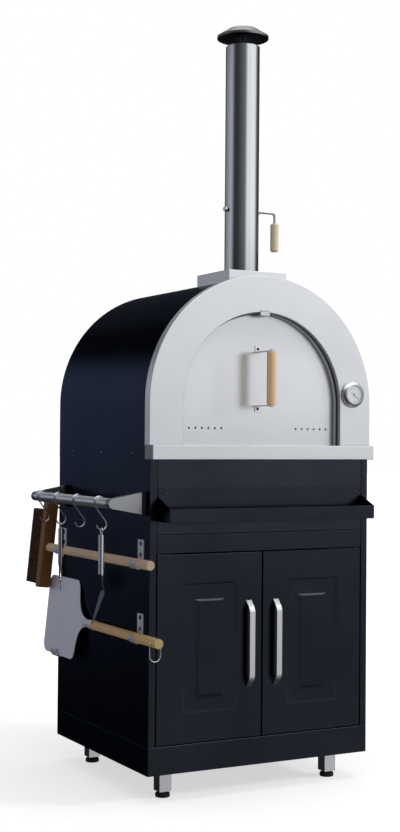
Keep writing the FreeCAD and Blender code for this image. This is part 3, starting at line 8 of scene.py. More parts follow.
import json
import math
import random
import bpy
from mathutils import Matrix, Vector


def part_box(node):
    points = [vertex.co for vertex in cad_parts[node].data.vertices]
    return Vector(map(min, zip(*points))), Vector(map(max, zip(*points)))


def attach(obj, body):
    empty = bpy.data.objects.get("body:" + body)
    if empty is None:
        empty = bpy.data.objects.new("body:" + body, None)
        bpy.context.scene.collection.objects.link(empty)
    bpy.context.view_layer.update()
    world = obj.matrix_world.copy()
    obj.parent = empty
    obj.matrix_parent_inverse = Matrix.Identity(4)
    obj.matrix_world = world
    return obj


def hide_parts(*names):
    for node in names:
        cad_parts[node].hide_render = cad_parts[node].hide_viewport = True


bl_info = {
    "name": "Pizza Oven Table",
    "version": (1, 0, 0),
    "blender": (4, 5, 0),
    "location": "3D View > Sidebar > Oven Table",
    "description": "Finishes and fine detail for an outdoor pizza oven on a cabinet",
    "category": "Add Mesh",
}

import bmesh
import bpy
from bpy.props import FloatProperty, FloatVectorProperty, IntProperty, PointerProperty
from mathutils import Matrix, Vector

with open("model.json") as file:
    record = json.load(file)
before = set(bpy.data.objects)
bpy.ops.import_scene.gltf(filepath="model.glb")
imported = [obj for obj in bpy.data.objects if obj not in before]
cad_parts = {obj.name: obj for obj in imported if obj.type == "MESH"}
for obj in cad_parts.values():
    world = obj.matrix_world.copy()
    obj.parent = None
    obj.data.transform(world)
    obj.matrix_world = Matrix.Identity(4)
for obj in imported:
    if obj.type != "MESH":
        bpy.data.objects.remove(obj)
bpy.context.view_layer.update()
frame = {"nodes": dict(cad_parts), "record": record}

RECORD = frame["record"]
BODY = {node: body for body, nodes in RECORD["behaviour"]["bodies"].items() for node in nodes}


# Materials
def start_material(name):
    """The tree and the main shader of an empty material."""
    material = bpy.data.materials.new(name)
    material.use_nodes = True
    tree = material.node_tree
    return tree, tree.nodes["Principled BSDF"]


def feed(item, values):
    """Give each socket its value, or a link from a socket or from a node's first output."""
    for socket, source in values.items():
        if isinstance(source, bpy.types.Node):
            source = source.outputs[0]
        if isinstance(source, bpy.types.NodeSocket):
            item.id_data.links.new(source, item.inputs[socket])
        else:
            item.inputs[socket].default_value = source


def add(tree, kind, values, **settings):
    """A node with its settings and what its sockets take."""
    item = tree.nodes.new(kind)
    for name, value in settings.items():
        setattr(item, name, value)
    feed(item, values)
    return item


def number_step(tree, operation, *sources):
    return add(tree, "ShaderNodeMath", dict(enumerate(sources)), operation=operation)


def vector_step(tree, operation, *sources):
    return add(tree, "ShaderNodeVectorMath", dict(enumerate(sources)), operation=operation)


def length_of(tree, vector):
    return vector_step(tree, "LENGTH", vector).outputs["Value"]


def rescale(tree, source, start, end, low=0.0, high=1.0, **settings):
    """A value brought from one range to another."""
    return add(tree, "ShaderNodeMapRange", {"Value": source, "From Min": start, "From Max": end,
                                            "To Min": low, "To Max": high}, **settings)


def ramp(tree, source, stops):
    """A colour ramp from (position, colour) pairs."""
    item = add(tree, "ShaderNodeValToRGB", {"Fac": source})
    elements = item.color_ramp.elements
    elements[0].position, elements[0].color = stops[0]
    elements[1].position, elements[1].color = stops[-1]
    for position, colour in stops[1:-1]:
        elements.new(position).color = colour
    return item


def shade(colour, factor):
    """A colour made lighter or darker, with its alpha."""
    return [min(1.0, part * factor) for part in colour[:3]] + [1.0]


def object_place(tree):
    """The object's own coordinates."""
    return add(tree, "ShaderNodeTexCoord", {}).outputs["Object"]


def axes(tree, place):
    """The X, Y and Z of a place."""
    return add(tree, "ShaderNodeSeparateXYZ", {"Vector": place}).outputs


def object_noise(tree, scale, detail=3.0):
    """Noise on the object's own coordinates, stretched by the three scales."""
    stretch = add(tree, "ShaderNodeMapping", {"Vector": object_place(tree), "Scale": scale})
    return add(tree, "ShaderNodeTexNoise", {"Vector": stretch, "Scale": 1.0, "Detail": detail})


def gloss(tree, noise, low, high):
    """Roughness that follows the middle of a noise's range."""
    return rescale(tree, noise, 0.3, 0.7, low, high)


def grained(tree, shader, noise, rough, relief=0.00001):
    """A grain in the gloss, and the same grain as a low relief."""
    bump = add(tree, "ShaderNodeBump", {"Height": noise, "Strength": 1.0, "Distance": relief})
    feed(shader, {"Roughness": gloss(tree, noise, *rough), "Normal": bump})


def surface(name, colour, grain, spread, rough, relief, metallic, specular=0.5, cloud=(5.0, 5.0, 5.0),
            sheen_tint=(1.0, 1.0, 1.0)):
    """A finish with slow changes of tone, a fine grain in its gloss and a low relief."""
    tree, shader = start_material(name)
    tint = ramp(tree, object_noise(tree, cloud, 4.0),
                [(0.3, shade(colour, 1.0 - spread)), (0.7, shade(colour, 1.0 + spread))])
    feed(shader, {"Base Color": tint, "Metallic": metallic, "Specular IOR Level": specular,
                  "Specular Tint": (*sheen_tint, 1.0)})
    grained(tree, shader, object_noise(tree, grain), rough, relief)
    return tree, shader, tint


def wood(name, light, dark, direction, centre, rough=(0.42, 0.55), rings=90.0):
    """Straight-grained wood with growth rings round one axis and fine dark fibres."""
    tree, shader = start_material(name)
    axis = "XYZ".index(direction)
    along = [0.07 if i == axis else 1.0 for i in range(3)]
    stretch = add(tree, "ShaderNodeMapping", {
        "Vector": object_place(tree), "Scale": along,
        "Location": [-value * part for value, part in zip(centre, along)]})
    wave = add(tree, "ShaderNodeTexWave", {
        "Vector": stretch, "Scale": rings, "Distortion": 2.5, "Detail": 3.0, "Detail Scale": 0.6},
        wave_type="RINGS", rings_direction=direction)
    fibre = object_noise(tree, [12.0 if i == axis else 900.0 for i in range(3)], 4.0)
    both = number_step(tree, "MULTIPLY_ADD", wave.outputs["Fac"], 0.22,
                       number_step(tree, "MULTIPLY", fibre, 0.8))
    tint = ramp(tree, both, [(0.1, shade(dark, 1.0)), (0.5, shade(light, 0.95)), (0.9, shade(light, 1.06))])
    feed(shader, {"Base Color": tint, "Specular IOR Level": 0.35})
    grained(tree, shader, fibre, rough, 0.00006)


# How often the grain repeats in a metre along X, Y and Z
EVEN_GRAIN = (700.0, 700.0, 700.0)
GRAIN_ACROSS = (26.0, 900.0, 900.0)


def finishes():
    """Every finish of the oven table, made once."""
    if "coat_black" in bpy.data.materials:
        return bpy.data.materials
    hue = bpy.context.scene.oven_colours
    fine = EVEN_GRAIN
    # The upper front panel's coat is the same coat 1.18 times lighter: painted light on the high front panel.
    for name, colour in (("coat_black", hue.coat), ("coat_upper_painted_light", shade(hue.coat, 1.18)),
                         ("coat_fold", hue.coat_fold)):
        # The coat for folds that lean up and forward is a lighter coat, a painted highlight.
        surface(name, colour, fine, 0.12, (0.2, 0.27), 0.00001, 1.0, sheen_tint=hue.coat_sheen)
    surface("steel_front", shade(hue.steel, 0.95), GRAIN_ACROSS, 0.03, (0.3, 0.42), 0.000006, 0.75)
    # The ledge's sideways ends take the steel 0.42 times as light: painted shade.
    surface("steel_end_shaded", shade(hue.steel, 0.42), (900.0, 26.0, 900.0), 0.03, (0.3, 0.42), 0.000006, 1.0)
    surface("steel_upright", hue.steel, (900.0, 900.0, 14.0), 0.03, (0.16, 0.24), 0.000004, 1.0)
    surface("steel_flue", shade(hue.steel, 0.645), (900.0, 900.0, 9.0), 0.02, (0.05, 0.1), 0.000002, 1.0)
    surface("steel_long", hue.steel, (900.0, 14.0, 900.0), 0.04, (0.26, 0.38), 0.000006, 1.0)
    surface("rail_satin", hue.rail, (900.0, 14.0, 900.0), 0.05, (0.36, 0.42), 0.000003, 1.0)
    surface("blade_satin", hue.blade, (900.0, 20.0, 900.0), 0.03, (0.4, 0.5), 0.00001, 0.75)
    surface("bright_metal", hue.bright, (300.0, 300.0, 300.0), 0.02, (0.06, 0.12), 0.000002, 1.0)
    surface("wire_metal", hue.wire, fine, 0.05, (0.2, 0.32), 0.000004, 1.0)
    surface("handle_satin", hue.handle, fine, 0.03, (0.3, 0.4), 0.00001, 1.0)
    surface("bracket_grey", hue.bracket, fine, 0.06, (0.35, 0.48), 0.00002, 0.7)
    surface("bracket_light", hue.steel, fine, 0.03, (0.3, 0.4), 0.00001, 0.8)
    surface("foot_rubber", hue.rubber, fine, 0.15, (0.6, 0.8), 0.00005, 0.0, 0.3)
    surface("catch_black", hue.rubber, fine, 0.1, (0.5, 0.7), 0.00002, 0.0, 0.3)
    surface("fired_stone", hue.stone, (260.0, 260.0, 260.0), 0.16, (0.75, 0.95), 0.0004, 0.0, 0.2,
            (22.0, 22.0, 22.0))
    surface("lagging_wool", hue.lagging, (420.0, 420.0, 160.0), 0.1, (0.9, 1.0), 0.0012, 0.0, 0.1,
            (30.0, 30.0, 30.0))
    surface("screw_dark", hue.screw, fine, 0.08, (0.3, 0.4), 0.00001, 1.0)
    surface("screw_black", hue.bolt, fine, 0.08, (0.25, 0.35), 0.00001, 0.0, 0.5)
    surface("hole_black", hue.bolt, fine, 0.08, (0.55, 0.65), 0.00001, 0.0, 0.15)
    surface("dial_white", hue.dial, (120.0, 120.0, 120.0), 0.02, (0.4, 0.5), 0.000004, 0.0, 0.4)
    surface("dial_ink", hue.ink, fine, 0.05, (0.5, 0.6), 0.000004, 0.0, 0.3)
    surface("bristle_brown", hue.bristle, (260.0, 9.0, 260.0), 0.55, (0.6, 0.8), 0.0001, 0.0, 0.12,
            (320.0, 14.0, 320.0))
    middle = {node: (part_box(node)[0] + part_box(node)[1]) / 2
              for node in ("brush_pole", "peel_pole", "oven_handle_grip", "damper_grip", "brush_head")}
    wood("wood_brush_pole", hue.pole, hue.pole_dark, "Y", middle["brush_pole"] + Vector((0.006, 0, 0.01)))
    wood("wood_peel_pole", hue.peel, hue.peel_dark, "Y", middle["peel_pole"] + Vector((-0.008, 0, 0.007)))
    wood("wood_oven_grip", hue.grip, hue.grip_dark, "Z", middle["oven_handle_grip"] + Vector((0.01, 0.01, 0)))
    wood("wood_damper_grip", hue.knob, hue.knob_dark, "Z", middle["damper_grip"] + Vector((0.01, 0.01, 0)))
    wood("wood_brush_head", hue.head, hue.head_dark, "Z", middle["brush_head"] + Vector((0.05, -0.02, 0)),
         (0.5, 0.65), 70.0)
    rail_arm_finish(hue)
    split_finish("cap_and_post", hue.cap, hue.steel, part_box("chimney_cap"),
                 reach=0.006, rise=0.045, metallic=0.3)
    split_finish("server_and_handle", hue.server, hue.bright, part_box("pizza_server"), reach=1.0)
    oven_door_finish(hue)
    mouth_finish(hue)
    thermometer_window()
    return bpy.data.materials


def rail_arm_finish(hue):
    """Light flared arms on dark foot plates, told apart by how near the panel they are; the plates' dark is
    partly their own black and partly painted shade on them.
    """
    tree, shader = start_material("arm_and_shaded_foot")
    plate = 0.0112
    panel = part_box("rail_brackets")[1].x
    near = number_step(tree, "GREATER_THAN", axes(tree, object_place(tree))["X"], panel - plate)
    tint = ramp(tree, near, [(0.0, shade(hue.steel, 0.46)), (1.0, shade(hue.coat, 0.6))])
    feed(shader, {"Base Color": tint, "Metallic": 1.0})
    grained(tree, shader, object_noise(tree, EVEN_GRAIN), (0.32, 0.44))


def split_finish(name, colour, other, box, reach, rise=None, metallic=1.0):
    """One metal on a piece and another within a reach of its middle line, up to a rise from its foot.

    With no rise, the other metal starts at the middle of the piece's height and goes up.
    """
    tree, shader = start_material(name)
    low, high = box
    middle = (low + high) / 2
    place = object_place(tree)
    height = axes(tree, place)["Z"]
    if rise:
        level = number_step(tree, "LESS_THAN", height, low.z + rise)
    else:
        level = number_step(tree, "GREATER_THAN", height, middle.z)
    offset = vector_step(tree, "SUBTRACT", place, middle)
    away = length_of(tree, vector_step(tree, "MULTIPLY", offset, (1.0, 1.0, 0.0)))
    both = number_step(tree, "MULTIPLY", number_step(tree, "LESS_THAN", away, reach), level)
    tint = ramp(tree, both, [(0.0, shade(colour, 1.0)), (1.0, shade(other, 1.0))])
    feed(shader, {"Base Color": tint, "Metallic": rescale(tree, both, 0.0, 1.0, 1.0, metallic)})
    grained(tree, shader, object_noise(tree, (500.0, 500.0, 500.0)), (0.26, 0.4))


def oven_door_finish(hue):
    """Brushed steel with painted shade: a little darker at the top and bottom and along the door's rim."""
    tree, shader, steel = surface("steel_door", shade(hue.steel, 0.95), GRAIN_ACROSS, 0.02, (0.22, 0.27),
                                  0.0000008, 0.75)
    low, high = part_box("oven_door_skin")
    radius = (high.x - low.x) / 2
    parts = axes(tree, object_place(tree))
    above = number_step(tree, "MAXIMUM", number_step(tree, "SUBTRACT", parts["Z"], high.z - radius), 0.0)
    away = length_of(tree, add(tree, "ShaderNodeCombineXYZ", {"X": parts["X"], "Z": above}))
    # Painted shade along the rim: the steel darkens to 0.68 of its tone within a few millimetres of the
    # door's outline.
    shade_rim_width, shade_rim_blend = 0.0035, 0.0015
    rim = rescale(tree, away, radius - shade_rim_width - shade_rim_blend, radius - shade_rim_width, 1.0, 0.68)
    # Painted shade by height: darker at the top and a little at the bottom.
    tone = ramp(tree, rescale(tree, parts["Z"], low.z, high.z), [
        (part, [level] * 3 + [1.0]) for part, level in ((0.0, 0.93), (0.3, 1.0), (0.62, 1.0), (0.98, 0.8))])
    shaded_steel = vector_step(tree, "MULTIPLY", steel, tone)
    feed(shader, {"Base Color": add(tree, "ShaderNodeVectorMath", {0: shaded_steel, "Scale": rim},
                                    operation="SCALE")})


def mouth_finish(hue):
    """The mouth's liner toned by depth: half tone at the front, a dark band of painted shade inside the rim,
    and sheet behind it painted paler than the steel, as painted light.
    """
    tree, shader = start_material("liner_painted_shade_and_light")
    low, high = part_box("mouth_liner")
    deep = rescale(tree, axes(tree, object_place(tree))["Y"], low.y, high.y)
    tint = ramp(tree, deep, [(part, shade(hue.steel, level)) for part, level in (
        (0.0, 0.5), (0.2, 0.5), (0.26, 0.05), (0.5, 0.05), (0.56, 1.2), (1.0, 1.2))])
    feed(shader, {"Base Color": tint, "Specular IOR Level": 0.3})
    grained(tree, shader, object_noise(tree, (900.0, 26.0, 900.0)), (0.35, 0.5))


def thermometer_window():
    tree, shader = start_material("dial_glass")
    smear = object_noise(tree, (90.0, 90.0, 90.0))
    feed(shader, {"Base Color": (0.98, 0.99, 1.0, 1.0), "Transmission Weight": 1.0, "IOR": 1.3,
                  "Roughness": gloss(tree, smear, 0.0, 0.03)})


def paint(material, *nodes):
    """Give solids that already have the right shape a better finish."""
    for node in nodes:
        for slot in frame["nodes"][node].material_slots:
            slot.material = finishes()[material]


# Shapes
WELD = 0.000005
SMOOTH_ANGLE = math.radians(32.0)


def solid_copy(node, whole=True):
    """A bmesh of a solid's surface, with its triangles merged into whole faces if that is asked."""
    mesh = frame["nodes"][node].data.copy()
    if "custom_normal" in mesh.attributes:
        mesh.attributes.remove(mesh.attributes["custom_normal"])
    shape = bmesh.new()
    shape.from_mesh(mesh)
    bpy.data.meshes.remove(mesh)
    bmesh.ops.remove_doubles(shape, verts=shape.verts, dist=WELD)
    bmesh.ops.dissolve_degenerate(shape, dist=WELD, edges=shape.edges)
    if whole:
        bmesh.ops.dissolve_limit(shape, angle_limit=math.radians(0.4), verts=shape.verts, edges=shape.edges)
    return shape


def breadth(face):
    """How wide a face is, taken as a strip of its area and outline."""
    return 2.0 * face.calc_area() / face.calc_perimeter()


def fold_edges(shape, least):
    """The outward corners between two broad faces."""
    return [edge for edge in shape.edges
            if len(edge.link_faces) == 2 and edge.is_convex
            and edge.calc_face_angle(0.0) > math.radians(40.0)
            and min(breadth(face) for face in edge.link_faces) > least]


def joined(items, neighbours):
    """The groups of items that reach each other through their neighbours."""
    left, groups = set(items), []
    for start in items:
        if start not in left:
            continue
        left.discard(start)
        group, queue = [start], [start]
        while queue:
            for other in neighbours(queue.pop()):
                if other in left:
                    left.discard(other)
                    group.append(other)
                    queue.append(other)
        groups.append(group)
    return groups


def islands(shape):
    """The separate bodies of a bmesh, each as a list of vertices."""
    return joined(list(shape.verts), lambda vert: [end for edge in vert.link_edges for end in edge.verts])


def front_rim(shape):
    """The long outline of the front face, without the small holes in it."""
    front = min(vert.co.y for vert in shape.verts)
    corners = [edge for edge in shape.edges
               if len(edge.link_faces) == 2 and edge.is_convex
               and edge.calc_face_angle(0.0) > math.radians(60.0)
               and max(vert.co.y for vert in edge.verts) < front + 0.00005]
    chains = joined(corners, lambda edge: [other for vert in edge.verts for other in vert.link_edges])
    return max(chains, key=lambda chain: sum(edge.calc_length() for edge in chain))


def round_off(shape, edges, radius, segments):
    bmesh.ops.bevel(shape, geom=edges, offset=radius, offset_type="OFFSET", segments=segments,
                    profile=0.5, affect="EDGES", clamp_overlap=True, material=-1, loop_slide=True)


def piece(name, shape, material, node, instead=True, weighted=True, extra=None):
    """Turn a bmesh into a piece that rides on the body of a node and may stand for it.

    The extra is a second finish with a test of a face's direction that says where it goes.
    """
    for edge in shape.edges:
        edge.smooth = edge.calc_face_angle(0.0) < SMOOTH_ANGLE
    for face in shape.faces:
        face.smooth = True
        face.material_index = 0
    mesh = bpy.data.meshes.new(name)
    shape.to_mesh(mesh)
    shape.free()
    made = bpy.data.objects.new(name, mesh)
    bpy.context.scene.collection.objects.link(made)
    mesh.materials.append(finishes()[material])
    if extra:
        mesh.materials.append(finishes()[extra[0]])
        for face in mesh.polygons:
            if extra[1](face.normal):
                face.material_index = 1
    if weighted:
        even = made.modifiers.new("even shading", "WEIGHTED_NORMAL")
        even.keep_sharp = True
    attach(made, BODY[node])
    if instead:
        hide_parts(node)
    return made


# Faces that lean up and forward: their lighter coat is a painted highlight.
def catches_light(normal):
    return normal.y < -0.3 and normal.z > 0.3


def faces_sideways(normal):
    return abs(normal.x) > 0.9


def thin_rims(shape, least):
    """The front corners along the top of a sheet's cut edge."""
    return [edge for edge in shape.edges
            if len(edge.link_faces) == 2 and edge.is_convex and edge.calc_length() > 0.02
            and min(face.normal.y for face in edge.link_faces) < -0.9
            and max(face.normal.z for face in edge.link_faces) > 0.9
            and min(breadth(face) for face in edge.link_faces) <= least]


def rounded(node, material, radius, segments=3, least=0.0028, extra=None, ease=None):
    """A copy of a solid with its outward folds rounded, which stands for it."""
    shape = solid_copy(node)
    if ease:
        ease(shape)
    edges = fold_edges(shape, least)
    if not edges:
        raise RuntimeError("no folds found on " + node)
    round_off(shape, edges, radius, segments)
    rims = thin_rims(shape, least) if extra else []
    if rims:
        round_off(shape, rims, bpy.context.scene.oven_sizes.rim, 2)
    return piece(node + "_finished", shape, material, node, extra=extra)


def ease_pressing(shape):
    """Slope the walls of a door's sunk band, as a pressed sheet has them."""
    sizes = bpy.context.scene.oven_sizes
    near = 0.0002
    low, high = extent(shape.verts)
    margin = 0.1 * (high.x - low.x)
    floor = [vert for vert in shape.verts
             if abs(vert.co.y - low.y - sizes.press_sink) < near
             and low.x + margin < vert.co.x < high.x - margin
             and low.z + margin < vert.co.z < high.z - margin]
    if len(floor) < 8:
        raise RuntimeError("no sunk band found on the door")
    low, high = extent(floor)
    middle = (low + high) / 2
    for vert in floor:
        right, upper = vert.co.x > middle.x, vert.co.z > middle.z
        outer = min(abs(vert.co.x - low.x), abs(vert.co.x - high.x),
                    abs(vert.co.z - low.z), abs(vert.co.z - high.z)) < near
        inward = 1.0 if outer else -1.0
        vert.co.x += inward * sizes.press_side * (-1.0 if right else 1.0)
        vert.co.z += inward * (-sizes.press_top if upper else sizes.press_side)


def ease_bends(shape):
    """Turn the corners of a bent strap, which run across it, into curves."""
    across = [edge for edge in shape.edges
              if abs(edge.verts[0].co.x - edge.verts[1].co.x) > 0.99 * edge.calc_length()
              and math.radians(20.0) < edge.calc_face_angle(0.0) < math.radians(75.0)]
    if not across:
        raise RuntimeError("no bends found on a handle")
    round_off(shape, across, bpy.context.scene.oven_sizes.bend, 5)


def rimmed(node, material, radius):
    """A copy of a solid with the outline of its front face rounded, which stands for it."""
    shape = solid_copy(node, whole=False)
    round_off(shape, front_rim(shape), radius, 4)
    return piece(node + "_finished", shape, material, node)


def turned(profile, steps, centre):
    """A shape spun round the Y axis from (radius, distance towards the front) points."""
    shape = bmesh.new()
    points = [shape.verts.new((radius, -out, 0.0)) for radius, out in profile]
    edges = [shape.edges.new(pair) for pair in zip(points, points[1:])]
    bmesh.ops.spin(shape, geom=points + edges, cent=(0, 0, 0), axis=(0, 1, 0), dvec=(0, 0, 0),
                   angle=2.0 * math.pi, steps=steps, use_merge=True)
    bmesh.ops.remove_doubles(shape, verts=shape.verts, dist=0.00001)
    bmesh.ops.recalc_face_normals(shape, faces=shape.faces)
    bmesh.ops.translate(shape, verts=shape.verts, vec=centre)
    return shape


def extent(group):
    """The low and high corners of a group of vertices."""
    return (Vector([min(vert.co[i] for vert in group) for i in range(3)]),
            Vector([max(vert.co[i] for vert in group) for i in range(3)]))


def screw_heads(name, material, node, wanted, instead=True):
    """Flared heads with a sunk socket in place of the plain round heads whose radius is wanted."""
    crown, rim, wall, sink = 0.74, 0.3, 0.04, 0.55
    solid = solid_copy(node)
    heads, one = bmesh.new(), bpy.data.meshes.new("one_screw_head")
    middle_line = (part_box(node)[0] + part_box(node)[1]) / 2
    for group in islands(solid):
        low, high = extent(group)
        size, middle = high - low, (low + high) / 2
        thin = min(range(3), key=lambda i: size[i])
        radius = max(size) / 2
        if not wanted(radius):
            continue
        outward = Vector((0, 0, 0))
        outward[thin] = -1.0 if thin == 1 else math.copysign(1.0, middle[thin] - middle_line[thin])
        head = bmesh.new()
        bmesh.ops.create_cone(head, cap_ends=True, segments=24, radius1=radius, radius2=radius * crown,
                              depth=size[thin])
        top = max(head.faces, key=lambda face: face.calc_center_median().z)
        bmesh.ops.inset_individual(head, faces=[top], thickness=radius * rim)
        bmesh.ops.inset_individual(head, faces=[top], thickness=radius * wall, depth=-sink * size[thin])
        turn = outward.to_track_quat("Z", "Y").to_matrix().to_4x4()
        bmesh.ops.transform(head, matrix=Matrix.Translation(middle) @ turn, verts=head.verts)
        head.to_mesh(one)
        head.free()
        heads.from_mesh(one)
    bpy.data.meshes.remove(one)
    solid.free()
    piece(name, heads, material, node, instead)


# Settings
class OvenColours(bpy.types.PropertyGroup):
    """Colours of the finishes, in linear light."""


class OvenSizes(bpy.types.PropertyGroup):
    """Sizes of the detail that the finishes add to the solids."""

    fold: FloatProperty(name="Sheet fold", description="Outer radius of the folds of the sheet metal",
                        default=0.0016, min=0.0002, unit="LENGTH")
    rim: FloatProperty(name="Sheet rim", description="Rounding of the cut edges along the top of the sheets",
                       default=0.0007, min=0.0001, precision=4, unit="LENGTH")
    door_fold: FloatProperty(name="Oven door fold", description="Outer radius of the oven door's edge",
                             default=0.0014, min=0.0005, unit="LENGTH")
    press_sink: FloatProperty(name="Pressing depth", description="Depth of the sunk band in the doors",
                              default=0.003, min=0.0005, unit="LENGTH")
    press_side: FloatProperty(name="Pressing side slope", description="Run of the band's sloped sides",
                              default=0.012, min=0.0, max=0.02, unit="LENGTH")
    press_top: FloatProperty(name="Pressing top slope", description="Run of the slopes at the band's top",
                             default=0.004, min=0.0, max=0.02, unit="LENGTH")
    bar_edge: FloatProperty(name="Handle edge", description="Rounding of the bow handles",
                            default=0.0024, min=0.0002, unit="LENGTH")
    bend: FloatProperty(name="Handle bend", description="Rounding of the bends of the bow handles",
                        default=0.005, min=0.0005, unit="LENGTH")
    wood_edge: FloatProperty(name="Wood edge", description="Rounding of the poles and the brush block",
                             default=0.0025, min=0.0002, unit="LENGTH")
    foot_edge: FloatProperty(name="Foot edge", description="Rounding of the levelling feet's discs",
                             default=0.0025, min=0.0002, unit="LENGTH")
    tuft_rows: IntProperty(name="Tuft rows", description="Rows of bristle tufts across the brush",
                           default=7, min=2, max=12)
    tuft_count: IntProperty(name="Tufts in a row", description="Bristle tufts along the brush",
                            default=44, min=6, max=60)
    strands: IntProperty(name="Bristles in a tuft", description="Bristles that make one tuft",
                         default=16, min=3, max=24)
    bristle_radius: FloatProperty(name="Bristle radius", description="Radius of one bristle at its root",
                                  default=0.00055, min=0.0001, precision=5, unit="LENGTH")
    dial_marks: IntProperty(name="Dial marks", description="Marks round the thermometer's dial",
                            default=31, min=5, max=61)


class OvenStudio(bpy.types.PropertyGroup):
    """Light and floor of the picture."""

    room: FloatProperty(name="Room light", description="Even light from all round", default=0.45, min=0.0)
    key: FloatProperty(name="Key lamp", description="Power of the soft lamp in front", default=80.0,
                       min=0.0, unit="POWER")
    top: FloatProperty(name="Top lamp", description="Power of the soft lamp above", default=60.0,
                       min=0.0, unit="POWER")
    floor: FloatProperty(name="Floor size", description="Length of the floor's sides", default=60.0,
                         min=4.0, unit="LENGTH")


COLOURS = {
    "coat": ("Powder coat", (0.024, 0.0268, 0.0365)),
    # A lighter coat for folds that lean up and forward: a painted highlight.
    "coat_fold": ("Powder coat on folds", (0.055, 0.062, 0.08)),
    "coat_sheen": ("Powder coat at a low angle", (0.58, 0.64, 0.8)),
    "steel": ("Brushed steel", (0.62, 0.635, 0.665)),
    "bright": ("Polished steel", (0.72, 0.73, 0.75)),
    "wire": ("Wire", (0.56, 0.57, 0.6)),
    "rail": ("Rail tube", (0.74, 0.76, 0.83)),
    "blade": ("Peel blade", (0.66, 0.67, 0.77)),
    "server": ("Pizza server", (0.09, 0.093, 0.1)),
    "handle": ("Bow handles", (0.6, 0.61, 0.64)),
    "bracket": ("Pole brackets", (0.54, 0.55, 0.63)),
    "cap": ("Chimney cap", (0.17, 0.17, 0.18)),
    "rubber": ("Feet", (0.014, 0.014, 0.016)),
    "stone": ("Hearth stones", (0.52, 0.45, 0.35)),
    "lagging": ("Insulation", (0.72, 0.7, 0.65)),
    "screw": ("Screw heads", (0.07, 0.073, 0.085)),
    "bolt": ("Black bolts", (0.008, 0.008, 0.01)),
    "dial": ("Dial", (0.84, 0.85, 0.86)),
    "ink": ("Dial marks", (0.42, 0.42, 0.43)),
    "bristle": ("Bristles", (0.045, 0.019, 0.009)),
    "pole": ("Brush pole wood", (0.45, 0.33, 0.23)),
    "pole_dark": ("Brush pole wood, dark grain", (0.27, 0.18, 0.11)),
    "peel": ("Peel pole wood", (0.46, 0.31, 0.14)),
    "peel_dark": ("Peel pole wood, dark grain", (0.13, 0.08, 0.035)),
    "grip": ("Grip wood", (0.66, 0.48, 0.26)),
    "grip_dark": ("Grip wood, dark grain", (0.46, 0.3, 0.13)),
    "knob": ("Damper grip wood", (0.72, 0.62, 0.42)),
    "knob_dark": ("Damper grip wood, dark grain", (0.52, 0.42, 0.25)),
    "head": ("Brush block wood", (0.13, 0.058, 0.012)),
    "head_dark": ("Brush block wood, dark grain", (0.05, 0.021, 0.006)),
}
for colour_name, (label, value) in COLOURS.items():
    OvenColours.__annotations__[colour_name] = FloatVectorProperty(
        name=label, description=label + " colour", default=value, size=3, min=0.0, max=1.0, subtype="COLOR")


# Pieces
class OVEN_OT_cabinet(bpy.types.Operator):
    """Coat the cabinet's panels and round their folds"""
    bl_idname = "oven_table.cabinet"
    bl_label = "Cabinet"

    def execute(self, context):
        fold = context.scene.oven_sizes.fold
        for node in ("plinth", "side_panel_left", "side_panel_right", "door_header"):
            # Folds that lean up and forward get the lighter coat, a painted highlight.
            rounded(node, "coat_black", fold, extra=("coat_fold", catches_light))
        # The upper front panel is coated lighter than the rest, as painted light.
        rounded("upper_front_panel", "coat_upper_painted_light", fold, extra=("coat_fold", catches_light))
        paint("coat_black", "rear_panel")
        paint("screw_black", "door_pivot_pins")
        paint("catch_black", "magnet_catches")
        return {"FINISHED"}


class OVEN_OT_stand(bpy.types.Operator):
    """Finish the square tube frame and the levelling feet"""
    bl_idname = "oven_table.stand"
    bl_label = "Frame and feet"

    def execute(self, context):
        paint("steel_upright", "support_frame")
        for place in ("front_left", "front_right", "rear_left", "rear_right"):
            rounded("levelling_foot_" + place, "foot_rubber", context.scene.oven_sizes.foot_edge,
                    segments=4, least=0.0009)
        return {"FINISHED"}


class OVEN_OT_doors(bpy.types.Operator):
    """Coat the two doors and smooth their bow handles"""
    bl_idname = "oven_table.doors"
    bl_label = "Cabinet doors"

    def execute(self, context):
        sizes = context.scene.oven_sizes
        for side in ("left", "right"):
            rounded("cabinet_door_" + side, "coat_black", sizes.fold, extra=("coat_fold", catches_light),
                    ease=ease_pressing)
            rounded("door_handle_" + side, "handle_satin", sizes.bar_edge, segments=4, ease=ease_bends)
        return {"FINISHED"}


class OVEN_OT_tray(bpy.types.Operator):
    """Coat the sauce tray and round its folds"""
    bl_idname = "oven_table.tray"
    bl_label = "Sauce tray"

    def execute(self, context):
        rounded("sauce_tray", "coat_black", context.scene.oven_sizes.fold,
                extra=("coat_fold", catches_light))
        return {"FINISHED"}


class OVEN_OT_hearth(bpy.types.Operator):
    """Finish the hearth, the stones and the inside of the oven"""
    bl_idname = "oven_table.hearth"
    bl_label = "Hearth and chamber"

    def execute(self, context):
        paint("coat_black", "hearth_pan")
        worn_edge = 0.0022
        rounded("hearth_stones", "fired_stone", worn_edge)
        paint("lagging_wool", "insulation")
        paint("steel_long", "inner_chamber")
        # The liner's tone by depth is painted shade and painted light.
        paint("liner_painted_shade_and_light", "mouth_liner")
        return {"FINISHED"}


class OVEN_OT_dome(bpy.types.Operator):
    """Coat the arched skin and its rear cover"""
    bl_idname = "oven_table.dome"
    bl_label = "Dome"

    def execute(self, context):
        paint("coat_black", "dome_skin", "dome_rear_cover")
        return {"FINISHED"}


class OVEN_OT_front(bpy.types.Operator):
    """Brush the arched fascia and the ledge, and round their folds"""
    bl_idname = "oven_table.front"
    bl_label = "Fascia and ledge"

    def execute(self, context):
        fold = context.scene.oven_sizes.fold
        rimmed("fascia", "steel_front", fold)
        # Faces of the ledge that point sideways get darker steel, painted shade.
        rounded("ledge", "steel_front", fold, segments=4, extra=("steel_end_shaded", faces_sideways))
        return {"FINISHED"}


